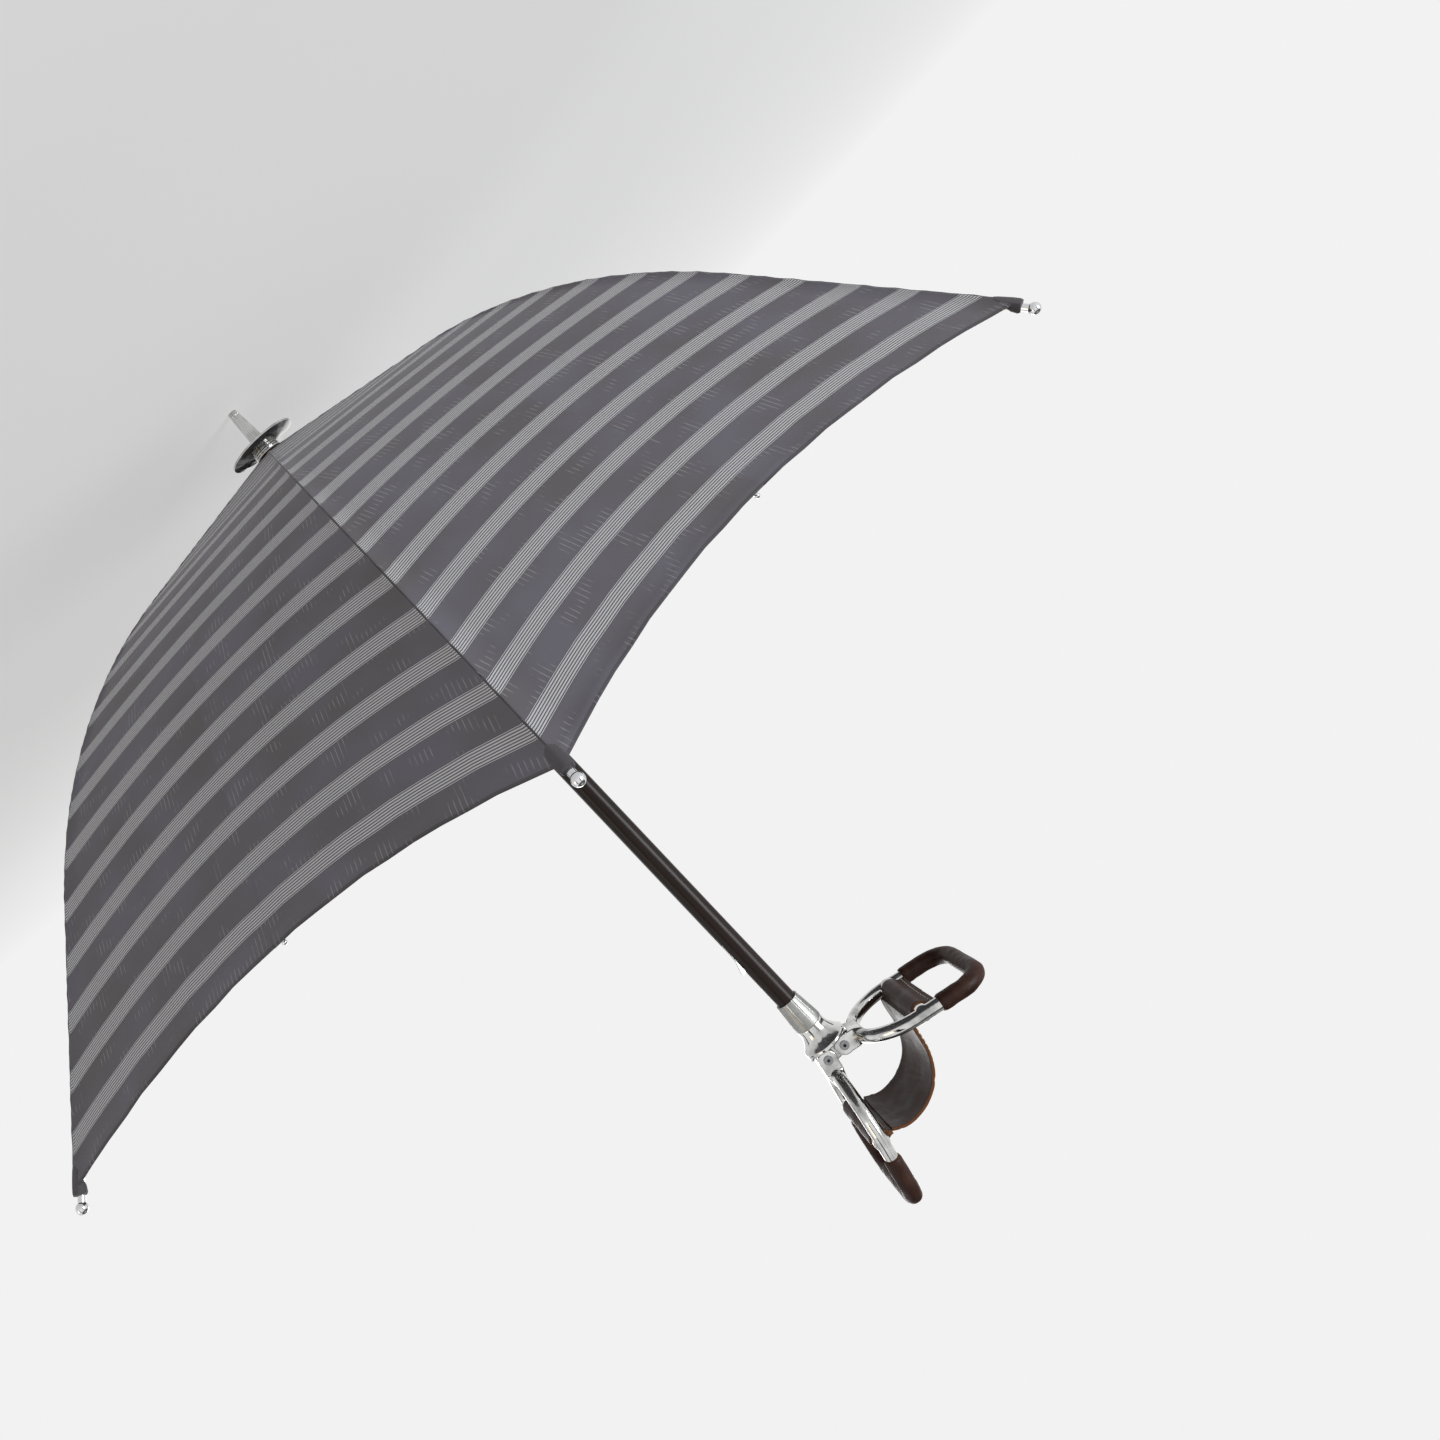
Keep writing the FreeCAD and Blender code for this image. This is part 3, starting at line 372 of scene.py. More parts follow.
def canopy_cloth(name, ground, shade, striped):
    """Yarn-dyed polyester pongee: a plain weave with groups of fine pale stripes, and slubs across them."""
    material, tree, shader = new_material(name, Roughness=0.72, Sheen_Weight=0.12, Sheen_Roughness=0.4)
    where = add(tree, "ShaderNodeUVMap", uv_map="cut").outputs["UV"]
    apart = add(tree, "ShaderNodeSeparateXYZ", {"Vector": where})
    across, down = apart.outputs["X"], apart.outputs["Y"]
    cloud = add(tree, "ShaderNodeTexNoise", {"Vector": where, "Scale": 1 / (60 * MM)}).outputs["Fac"]
    colour = blend_colours(tree, spread(tree, cloud, 0.35, 0.65), tint(ground), tint(shade))
    warp = spread(tree, calculate(tree, "PINGPONG", across, SLUB_PITCH / 2), 0.35 * MM, 0.15 * MM)
    patch_space = add(tree, "ShaderNodeCombineXYZ", {
        "X": calculate(tree, "MULTIPLY", across, 1 / (19 * MM)),
        "Y": calculate(tree, "MULTIPLY", down, 1 / (13 * MM)),
    }).outputs["Vector"]
    patchy = {"Vector": patch_space, "Scale": 1.0, "Detail": 1.0}
    patch = add(tree, "ShaderNodeTexNoise", patchy).outputs["Fac"]
    slub = calculate(tree, "MULTIPLY", warp, spread(tree, patch, 0.55, 0.66, 0.0, 0.4))
    colour = blend_colours(tree, slub, colour, tint("#a5a4a3"))
    if striped:
        off = calculate(tree, "PINGPONG", down, STRIPE_PITCH / 2)
        edge = STRIPE_LINES * PINSTRIPE_PITCH / 2
        band = spread(tree, off, edge + 0.6 * MM, edge + 0.4 * MM)
        pin = calculate(tree, "PINGPONG", off, PINSTRIPE_PITCH / 2)
        light = calculate(tree, "MULTIPLY", spread(tree, off, edge, edge - 0.1 * MM),
                          spread(tree, pin, 0.3 * MM, 0.5 * MM))
        colour = blend_colours(tree, calculate(tree, "MULTIPLY", band, 0.75), colour, tint("#45434a"))
        colour = blend_colours(tree, calculate(tree, "MULTIPLY", light, 0.85), colour, tint("#c1c1c3"))
    tree.links.new(colour, shader.inputs["Base Color"])
    # Threads of 0.25 mm are drawn as 0.8 mm, so that they show
    weave = add(tree, "ShaderNodeTexNoise", {"Vector": where, "Scale": 1 / (0.8 * MM)}).outputs["Fac"]
    bumped(tree, shader, weave, 0.08 * MM, 0.35)
    return material


FINISHES = {
    "alloy": polished_alloy(),
    "casting": matt_casting(),
    "enamel": shaft_enamel(),
    "steel": plated_steel(),
    "chrome": chrome_plate(),
    "rivet": turned_rivet(),
    "leather": grain_leather(),
    "raw": raw_edge(),
    "cream": waxed_thread("cream_linen_thread", "#b5aa94", "#ddd5c3"),
    "dark": waxed_thread("brown_linen_thread", "#1c120f", "#3a2a24"),
    "cloth": canopy_cloth("striped_pongee", "#5b5962", "#545054", True),
    "plain": canopy_cloth("plain_pongee", "#4a474c", "#3f3c40", False),
}


def finished(name, mesh, *finishes, body=None, slot=None):
    """Puts a mesh in the scene with its materials and on its body. The record's slot is not used."""
    if mesh.materials:
        mesh.materials.clear()
    for key in finishes:
        mesh.materials.append(FINISHES[key])
    piece = bpy.data.objects.new(name, mesh)
    bpy.context.scene.collection.objects.link(piece)
    if body:
        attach(piece, body)
    return piece


def applied(piece):
    """A plain mesh of a piece as its modifiers make it; the piece itself is removed."""
    bpy.context.view_layer.update()
    seen = piece.evaluated_get(bpy.context.evaluated_depsgraph_get())
    mesh = bpy.data.meshes.new_from_object(seen)
    bpy.data.objects.remove(piece)
    return mesh


def smooth_castings(node):
    """A CAD casting with its edges and inside corners rounded, as sand and the polishing mop leave them."""
    source = nodes[node].data.copy()
    work = bmesh.new()
    work.from_mesh(source)
    bmesh.ops.remove_doubles(work, verts=work.verts, dist=1e-6)
    work.to_mesh(source)
    work.free()
    piece = bpy.data.objects.new(node + "_work", source)
    bpy.context.scene.collection.objects.link(piece)
    remesh = piece.modifiers.new("cast", "REMESH")
    remesh.mode = "VOXEL"
    remesh.voxel_size = CAST_GRAIN
    soften = piece.modifiers.new("polish", "SMOOTH")
    soften.factor = 0.5
    soften.iterations = POLISH_ROUNDS
    mesh = applied(piece)
    mesh.shade_smooth()
    return mesh


def skin(name, points, faces, kinds, sharp):
    """A smooth mesh, with each face's material index and the edges that stay sharp."""
    mesh = bpy.data.meshes.new(name)
    mesh.from_pydata(points, [], faces)
    for face, kind in zip(mesh.polygons, kinds):
        face.material_index = kind
        face.use_smooth = True
    for edge in mesh.edges:
        if frozenset(edge.vertices) in sharp:
            edge.use_edge_sharp = True
    return mesh


def outward(mesh):
    """Turns a closed mesh's faces outward."""
    work = bmesh.new()
    work.from_mesh(mesh)
    bmesh.ops.recalc_face_normals(work, faces=work.faces)
    work.to_mesh(mesh)
    work.free()


def grid_mesh(name, outer, inner, uv, index):
    """A closed slab between two grids of points, with sharp edges round its rim."""
    rows, columns = len(outer), len(outer[0])
    points = [p for grid in (outer, inner) for row in grid for p in row]
    size = rows * columns
    faces, places, kinds = [], [], []

    def corner(layer, r, c):
        return layer * size + r * columns + c

    for r in range(rows - 1):
        for c in range(columns - 1):
            ring = [(r, c), (r + 1, c), (r + 1, c + 1), (r, c + 1)]
            for layer, order in ((0, ring), (1, ring[::-1])):
                faces.append([corner(layer, *q) for q in order])
                places.append(order)
                kinds.append(index(r, c))
    rim = [(r, 0) for r in range(rows)] + [(rows - 1, c) for c in range(1, columns)]
    rim += [(r, columns - 1) for r in range(rows - 2, -1, -1)] + [(0, c) for c in range(columns - 2, 0, -1)]
    rim_edges = set()
    for first, second in zip(rim, rim[1:] + rim[:1]):
        faces.append([corner(0, *second), corner(0, *first), corner(1, *first), corner(1, *second)])
        places.append([second, first, first, second])
        r, c = min(first[0], second[0], rows - 2), min(first[1], second[1], columns - 2)
        kinds.append(index(r, c))
        for layer in (0, 1):
            rim_edges.add(frozenset((corner(layer, *first), corner(layer, *second))))
    mesh = skin(name, points, faces, kinds, rim_edges)
    layer = mesh.uv_layers.new(name="cut")
    for n, (r, c) in enumerate(spot for place in places for spot in place):
        layer.data[n].uv = uv[r][c]
    outward(mesh)
    return mesh


def swept(name, rings, index=None, closed=False):
    """A closed skin over rings of points, with flat ends, or joined end to end."""
    count = len(rings[0])
    points = [p for ring in rings for p in ring]
    faces, kinds = [], []
    last = len(rings) if closed else len(rings) - 1
    for r in range(last):
        for c in range(count):
            a, b = r * count + c, r * count + (c + 1) % count
            shift = ((r + 1) % len(rings)) * count
            faces.append([a, b, shift + (c + 1) % count, shift + c])
            kinds.append(index(r, c) if index else 0)
    sharp = set()
    if not closed:
        for r in (0, len(rings) - 1):
            loop = [r * count + c for c in range(count)]
            faces.append(loop)
            kinds.append(index(r, None) if index else 0)
            sharp |= {frozenset((loop[n], loop[(n + 1) % count])) for n in range(count)}
    mesh = skin(name, points, faces, kinds, sharp)
    outward(mesh)
    return mesh


def stitch_tree():
    """Lays a small padded stitch on each point, turned by the point's own directions."""
    tree = bpy.data.node_groups.new("laid_stitches", "GeometryNodeTree")
    face = tree.interface
    face.new_socket("Geometry", in_out="INPUT", socket_type="NodeSocketGeometry")
    for name in ("Length", "Width", "Height"):
        face.new_socket(name, in_out="INPUT", socket_type="NodeSocketFloat")
    face.new_socket("Seed", in_out="INPUT", socket_type="NodeSocketInt")
    face.new_socket("Finish", in_out="INPUT", socket_type="NodeSocketMaterial")
    face.new_socket("Geometry", in_out="OUTPUT", socket_type="NodeSocketGeometry")
    given = add(tree, "NodeGroupInput").outputs
    run = add(tree, "GeometryNodeInputNamedAttribute", {"Name": "run"}, data_type="FLOAT_VECTOR")
    up = add(tree, "GeometryNodeInputNamedAttribute", {"Name": "face"}, data_type="FLOAT_VECTOR")
    turn = add(tree, "FunctionNodeAxesToRotation", {
        "Primary Axis": run.outputs["Attribute"], "Secondary Axis": up.outputs["Attribute"],
    }, primary_axis="X", secondary_axis="Z")
    uneven = add(tree, "FunctionNodeRandomValue", {"Seed": given["Seed"]}, data_type="FLOAT")
    for socket, value in zip([s for s in uneven.inputs if s.type == "VALUE" and s.enabled], (0.88, 1.1)):
        socket.default_value = value
    amount = next(s for s in uneven.outputs if s.type == "VALUE" and s.enabled)
    size = add(tree, "ShaderNodeCombineXYZ", {
        "X": calculate(tree, "MULTIPLY", given["Length"], amount), "Y": given["Width"], "Z": given["Height"],
    })
    bead = add(tree, "GeometryNodeMeshUVSphere", {"Segments": 8, "Rings": 6, "Radius": 0.5})
    smooth = add(tree, "GeometryNodeSetShadeSmooth", {"Geometry": bead.outputs["Mesh"]})
    laid = add(tree, "GeometryNodeInstanceOnPoints", {
        "Points": given["Geometry"], "Instance": smooth.outputs["Geometry"],
        "Rotation": turn.outputs["Rotation"], "Scale": size.outputs["Vector"],
    })
    real = add(tree, "GeometryNodeRealizeInstances", {"Geometry": laid.outputs["Instances"]})
    dyed = add(tree, "GeometryNodeSetMaterial", {
        "Geometry": real.outputs["Geometry"], "Material": given["Finish"],
    })
    out = add(tree, "NodeGroupOutput")
    tree.links.new(dyed.outputs["Geometry"], out.inputs["Geometry"])
    return tree


STITCHES = stitch_tree()


def stitched(name, marks, finish, size, body, seed=1):
    """Stitches of one size at marks: each a point, the way the stitch runs and the way it faces."""
    mesh = bpy.data.meshes.new(name)
    mesh.from_pydata([m[0] for m in marks], [], [])
    for label, column in (("run", 1), ("face", 2)):
        attribute = mesh.attributes.new(label, "FLOAT_VECTOR", "POINT")
        for n, mark in enumerate(marks):
            attribute.data[n].vector = mark[column]
    piece = bpy.data.objects.new(name, mesh)
    bpy.context.scene.collection.objects.link(piece)
    modifier = piece.modifiers.new("stitches", "NODES")
    modifier.node_group = STITCHES
    values = dict(zip(("Length", "Width", "Height"), size), Seed=seed, Finish=FINISHES[finish])
    for item in STITCHES.interface.items_tree:
        if item.in_out == "INPUT" and item.name in values:
            modifier[item.identifier] = values[item.name]
    return finished(name, applied(piece), finish, body=body, slot="dark_leather")


# Canopy

def canopy_line(inward):
    """The canopy's line in radius and height, inward from the outer face, as a function, and its length."""
    a, b = INNER_SLOPE, OUTER_SLOPE
    apex_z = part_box("canopy")[0].z
    start = Vector((APEX_R - math.sin(a) * inward, apex_z + math.cos(a) * inward))
    knee = start + Vector((math.cos(a), math.sin(a))) * ((KNEE_R - APEX_R) / math.cos(a))
    radius = BEND_R - inward
    centre = knee + Vector((-math.sin(a), math.cos(a))) * radius
    leave = centre + Vector((math.sin(b), -math.cos(b))) * radius
    first, bend = (knee - start).length, radius * (b - a)
    leave_r = KNEE_R + BEND_R * (math.sin(b) - math.sin(a))
    total = first + bend + (TIP_R - leave_r) / math.cos(b)

    def at(distance):
        if distance <= first:
            return start + Vector((math.cos(a), math.sin(a))) * distance, a
        if distance <= first + bend:
            t = a + (distance - first) / radius
            return centre + Vector((math.sin(t), -math.cos(t))) * radius, t
        return leave + Vector((math.cos(b), math.sin(b))) * (distance - first - bend), b

    return at, total


HALF_TURN = math.pi / RIBS


def cloth_point(at, total, azimuth, hand, t, x, lift=0.0):
    """A point of half a panel: t from apex to hem, x metres from the seam, lift above the face."""
    length = total - HEM_BACK
    side, slope = at(length * t)
    middle, _ = at(GORE_DIP + length * t - (HEM_SAG + GORE_DIP) * t * t)
    reach = side.x * math.sin(HALF_TURN)
    u = min(x / reach, 1.0)
    sink = u * (2 - u)
    out = side.x * math.cos(HALF_TURN)
    inside = (middle.x - GORE_DIP) * math.cos(HALF_TURN)
    centre_way = azimuth + hand * HALF_TURN
    forward = Vector((math.cos(centre_way), math.sin(centre_way), 0))
    across = Vector((math.sin(centre_way), -math.cos(centre_way), 0)) * hand
    radial = out + sink * (inside - out) + math.sin(slope) * lift
    height = side.y + sink * (middle.y - side.y) - math.cos(slope) * lift
    return forward * radial + across * (reach - u * reach) + Vector((0, 0, height))


def panel_rows(length):
    """Shares of a panel's length at which it has rows: evenly down the cloth, then the hem's."""
    hem_at = 1 - HEM_WIDTH / length
    steps = [n / (CLOTH_ROWS - HEM_ROWS) * hem_at for n in range(CLOTH_ROWS - HEM_ROWS + 1)]
    return steps + [hem_at + HEM_FOLD / length, 1 - HEM_EDGE / length, 1.0]


def panel_columns(reach):
    """Distances from the seam at which a row has points: the seam's own steps, then evenly to the middle."""
    seam = min(SEAM_WIDTH, reach * 0.3)
    rest = [seam + (reach - seam) * n / (CLOTH_COLUMNS - 3) for n in range(1, CLOTH_COLUMNS - 2)]
    return [0.0, min(SEAM_BINDING, reach * 0.1), seam, seam + min(SEAM_SHOULDER, reach * 0.05)] + rest


def half_panel(rib, hand):
    """Half a canopy panel: the cloth from one rib to the middle of the gap on one side of it."""
    azimuth = 2 * HALF_TURN * rib
    outer_at, total = canopy_line(0.0)
    inner_at, _ = canopy_line(CLOTH)
    length = total - HEM_BACK
    phase = random.Random(10 * rib + hand).uniform(0, 6.0)
    steps = panel_rows(length)
    rows_out, rows_in, cut = [], [], []
    down, before = 0.0, 0.0
    for row, t in enumerate(steps):
        point, slope = outer_at(length * t)
        reach = point.x * math.sin(HALF_TURN)
        down += (length * t - before) * math.sqrt(1 - (math.sin(HALF_TURN) * math.cos(slope)) ** 2)
        before = length * t
        hemmed = row >= len(steps) - 3
        line_out, line_in, line_cut = [], [], []
        for n, x in enumerate(panel_columns(reach)):
            fade = math.exp(-x / PUCKER_REACH) * min(1.0, reach / (40 * MM))
            swell = math.sin(2 * math.pi * length * t / PUCKER_PITCH + phase) * PUCKER * fade
            wave = math.sin(2 * math.pi * x / HEM_WAVE_PITCH + phase) * min(1.0, x / (20 * MM))
            swell += HEM_WAVE * (t ** 14) * wave
            rise = (SEAM_RISE if n < 3 else 0.0) + (HEM_RISE if hemmed else 0.0)
            line_out.append(cloth_point(outer_at, total, azimuth, hand, t, x, rise + swell))
            under = swell - (HEM_UNDER if hemmed else 0.0)
            line_in.append(cloth_point(inner_at, total, azimuth, hand, t, x, under))
            line_cut.append((hand * (reach - x) + rib * CUT_SPACING, down))
        rows_out.append(line_out)
        rows_in.append(line_in)
        cut.append(line_cut)

    # The stripes are counted up from the hem
    cut = [[(across, y - down + HEM_TO_STRIPE) for across, y in line] for line in cut]

    def kind(r, c):
        return 1 if r >= len(steps) - 2 or c < 1 else 0

    mesh = grid_mesh("panel", rows_out, rows_in, cut, kind)
    word = "a" if hand > 0 else "b"
    name = f"canopy_panel_{rib + 1}{word}"
    piece = finished(name, mesh, "cloth", "plain", body=f"rib_{rib + 1}", slot="canopy_cloth")
    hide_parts("canopy")
    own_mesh(piece)


def tip_tab(rib):
    """Dark cloth pocket that holds the hem's corner on a rib's end."""
    azimuth = 2 * HALF_TURN * rib
    at, total = canopy_line(0.0)
    radial = Vector((math.cos(azimuth), math.sin(azimuth), 0))
    across = Vector((-math.sin(azimuth), math.cos(azimuth), 0))
    rings = []
    for back, half, top, under in TAB_STATIONS:
        point, slope = at(total + back * MM)
        normal = radial * math.sin(slope) - Vector((0, 0, math.cos(slope)))
        middle = radial * point.x + Vector((0, 0, point.y))
        ring = []
        for n in range(TAB_POINTS):
            a = 2 * math.pi * n / TAB_POINTS
            c, s = math.cos(a), math.sin(a)
            wide = math.copysign(abs(c) ** TAB_CORNERS, c) * half * MM
            high = (top if s > 0 else under) * MM * math.copysign(abs(s) ** TAB_CORNERS, s)
            ring.append(middle + across * wide + normal * (high - TAB_DROOP * abs(wide)))
        rings.append(ring)
    mesh = swept("tab", rings)
    layer = mesh.uv_layers.new(name="cut")
    for loop in mesh.loops:
        point = mesh.vertices[loop.vertex_index].co
        layer.data[loop.index].uv = (point @ across, point.z)
    finished(f"rib_end_tab_{rib + 1}", mesh, "plain", body=f"rib_{rib + 1}", slot="canopy_cloth")


# Seat

def arm_frame(word):
    """An arm's pivot, its way outward along the arm and its inner face's way."""
    side, angle = SIDES[word], ARM_ANGLES[word]
    pivot = Vector(joints[f"{word}_arm_hinge"]["pos_m"])
    along = Vector((side * math.sin(angle), 0, math.cos(angle)))
    inner = Vector((-side * math.cos(angle), 0, math.sin(angle)))
    return pivot, along, inner


def grip_path(word, spacing):
    """Points round the grip's loop with their outward way, from the leg at +Y to the leg at -Y."""
    pivot, along, _ = arm_frame(word)
    leg = ARM_LENGTH - CORNER_R - GRIP_START
    bend = CORNER_R * math.pi / 2
    top = 2 * (LEG_Y - CORNER_R)
    total = 2 * (leg + bend) + top
    steps = int(total / spacing)
    marks = []
    for n in range(steps + 1):
        d = total * n / steps
        mirror = d > total / 2
        e = total - d if mirror else d
        if e <= leg:
            y, s, turn = LEG_Y, GRIP_START + e, 0.0
        elif e <= leg + bend:
            turn = (e - leg) / CORNER_R
            y = LEG_Y - CORNER_R + CORNER_R * math.cos(turn)
            s = ARM_LENGTH - CORNER_R + CORNER_R * math.sin(turn)
        else:
            y, s, turn = LEG_Y - CORNER_R - (e - leg - bend), ARM_LENGTH, math.pi / 2
        hand = -1 if mirror else 1
        out = Vector((0, hand * math.cos(turn), 0)) + along * math.sin(turn)
        marks.append((pivot + along * s + Vector((0, hand * y, 0)), out, d))
    return marks, total


def seam_turn(d, total):
    """Where the laced seam lies round the grip: it winds from the outside to the inner face."""
    return math.radians(SEAM_START + SEAM_WIND * d / total)


def laced_grip(word):
    """Leather sewn wet round the arm's loop: puckered along a laced seam, with cut ends."""
    body = f"{word}_arm"
    _, _, inner = arm_frame(word)
    marks, total = grip_path(word, GRIP_SPACING)
    turns = [2 * math.pi * n / GRIP_POINTS for n in range(GRIP_POINTS)]
    rings = []
    for centre, out, d in marks:
        ring = []
        seam = seam_turn(d, total)
        beat = math.sin(math.pi * d / LACE_PITCH) ** 2
        lip = -END_ROUND * math.exp(-(min(d, total - d) / (1.2 * MM)) ** 2)
        for a in turns:
            off = (a - seam + math.pi) % (2 * math.pi) - math.pi
            groove = -GROOVE_DEPTH * math.exp(-(off / GROOVE_HALF) ** 2)
            pucker = PUCKER_HEIGHT * (beat - 0.35) * math.exp(-(off / PUCKER_HALF) ** 2)
            way = out * math.cos(a) + inner * math.sin(a)
            rub = RUB_HEIGHT * noise.noise((centre + way * GRIP_R) / (7 * MM))
            ring.append(centre + way * (GRIP_R + (groove + pucker + rub + lip) * MM))
        rings.append(ring)
    bores = [[centre + (out * math.cos(a) + inner * math.sin(a)) * (ROD_R - 0.3 * MM) for a in turns]
             for centre, out, _ in (marks[0], marks[-1])]
    rings = [bores[0]] + rings + [bores[1]]

    def kind(r, c):
        return 1 if r in (0, len(rings) - 2) or c is None else 0

    piece = finished(f"{word}_grip_leather", swept("grip", rings, kind), "leather", "raw",
                     body=body, slot="dark_leather")
    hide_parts(f"{word}_grip")
    laces = []
    fray = []
    maker = random.Random(len(word))
    marks, total = grip_path(word, LACE_PITCH / 2)
    for n, (centre, out, d) in enumerate(marks[1:-1]):
        tangent = out.cross(inner).normalized()
        seam = seam_turn(d, total)
        way = out * math.cos(seam) + inner * math.sin(seam)
        over = (-out * math.sin(seam) + inner * math.cos(seam)).normalized()
        # Crossing laces: every other one lies on top and slants the other way
        slant, lift = (0.55, 0.25) if n % 2 else (-0.9, 0.05)
        laces.append((centre + way * (GRIP_R + lift * MM), (over + tangent * slant).normalized(), way))
    for centre, out, d in (marks[0], marks[-1]):
        seam = seam_turn(d, total)
        way = out * math.cos(seam) + inner * math.sin(seam)
        for _ in range(FRAY_ENDS):
            run = Vector([maker.uniform(-1, 1) for _ in range(3)]).normalized()
            shift = Vector([maker.uniform(-FRAY_REACH, FRAY_REACH) * MM for _ in range(3)])
            fray.append((centre + way * GRIP_R + shift, run, way))
    seed = int(total / LACE_PITCH)
    stitched(f"{word}_grip_lacing", laces, "dark", LACING, body, seed)
    stitched(f"{word}_grip_frayed_ends", fray, "dark", FRAY, body, seed=3)


def wrap_radius(turn, lip_turn):
    """Outer radius of the leather round the cross-bar, drawn out to a sewn flap and a sewn lip."""

    def gap(r):
        x, y = r * math.cos(turn), r * math.sin(turn)
        nearest = r - SLEEVE_R
        for way, tip, half in ((0.0, FLAP_TIP, FLAP_HALF), (lip_turn, LIP_TIP, LIP_HALF)):
            along = x * math.cos(way) + y * math.sin(way)
            off = -x * math.sin(way) + y * math.cos(way)
            arm = max(along - tip, -along, abs(off) - half)
            h = max(WRAP_BLEND - abs(nearest - arm), 0.0) / WRAP_BLEND
            nearest = min(nearest, arm) - h * h * WRAP_BLEND / 4
        return nearest

    low, high = SLEEVE_R * 0.9, FLAP_TIP * 1.2
    for _ in range(30):
        middle = (low + high) / 2
        if gap(middle) < 0:
            low = middle
        else:
            high = middle
    return low


def sleeve_outline(lip):
    """The sleeve's section as evenly spaced points, from a dense outline."""
    dense = 720
    turns = [2 * math.pi * n / dense for n in range(dense)]
    outline = [(wrap_radius(t, lip) * math.cos(t), wrap_radius(t, lip) * math.sin(t)) for t in turns]
    length = [0.0]
    for a, b in zip(outline, outline[1:] + outline[:1]):
        length.append(length[-1] + math.dist(a, b))
    picked = []
    step = 0
    for n in range(SLEEVE_POINTS):
        while length[step + 1] < length[-1] * n / SLEEVE_POINTS:
            step += 1
        picked.append(outline[step % dense])
    return picked


def bar_sleeve(word):
    """Leather folded round the cross-bar and sewn along a free flap, with a lip that the sling joins."""
    body = f"{word}_arm"
    pivot, along, inner = arm_frame(word)
    bar = pivot + along * BAR_AT
    lip = LIP_TURN[word]
    picked = sleeve_outline(lip)
    rings = []
    for n in range(SLEEVE_COLUMNS + 1):
        share = n / SLEEVE_COLUMNS * 2 - 1
        ring = []
        for c, (x, y) in enumerate(picked):
            reach = math.hypot(x, y)
            tip = max(0.0, (reach - SLEEVE_R * 1.25) / (FLAP_TIP - SLEEVE_R * 1.25))
            bow = 1 - FLAP_BOW * tip * (1 - share * share) / reach
            rough = 1 + 0.35 * MM * tip * noise.noise(Vector((share * 22, c * 0.21, 0))) / reach
            wobble = 0.5 * MM * noise.noise(Vector((share * 3.0, math.atan2(y, x), 2.0)))
            curl = 0.5 * MM * noise.noise(Vector((c * 0.15, share, 5.0))) if abs(share) == 1 else 0.0
            way = (along * x + inner * y).normalized()
            place = bar + along * (x * bow * rough) + inner * (y * bow * rough)
            ring.append(place + (way * wobble + Vector((0, share * SLEEVE_HALF + curl, 0))))
        rings.append(ring)
    bore = [[bar + (along * x + inner * y).normalized() * (BAR_R + 0.25 * MM)
             + Vector((0, hand * SLEEVE_HALF, 0)) for x, y in picked] for hand in (-1, 1)]
    # The ends turn in through a tan cut face, then along the bar
    rings = [bore[0]] + rings + [bore[1]]
    edge = max(math.hypot(x, y) for x, y in picked) - 0.9 * MM

    def kind(r, c):
        if c is None or r == 0 or r >= len(rings) - 2:
            return 1
        return 1 if min(math.hypot(*picked[c]), math.hypot(*picked[(c + 1) % SLEEVE_POINTS])) > edge else 0

    mesh = swept("sleeve", rings, kind, closed=True)
    piece = finished(f"{word}_sleeve_leather", mesh, "leather", "raw", body=body, slot="dark_leather")
    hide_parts(f"{word}_sleeve")
    # Thread along both faces of the flap
    seam = []
    half = SLEEVE_HALF - 2.5 * MM
    marks = int(2 * half / STITCH_PITCH)
    for n in range(marks + 1):
        y = -half + 2 * half * n / marks
        inset = FLAP_TIP - 4.0 * MM - FLAP_BOW * (1 - (y / SLEEVE_HALF) ** 2)
        for hand in (-1, 1):
            place = bar + along * inset + inner * (hand * (FLAP_HALF + 0.2 * MM)) + Vector((0, y, 0))
            seam.append((place, Vector((0, 1, 0)) + along * 0.12, inner * hand))
    thread = "cream" if word == "front" else "dark"
    stitched(f"{word}_flap_stitches", seam, thread, FLAP_THREAD, body)
    if word == "rear":
        box = []
        for turn in PATCH_TURNS:
            r = wrap_radius(turn, lip) + 0.25 * MM
            way = along * math.cos(turn) + inner * math.sin(turn)
            for n in range(PATCH_MARKS):
                y = (n / (PATCH_MARKS - 1) * 2 - 1) * PATCH_HALF
                box.append((bar + way * r + Vector((0, y, 0)), Vector((0, 1, 0)), way))
        stitched("rear_patch_stitches", box, "cream", PATCH_THREAD, body)


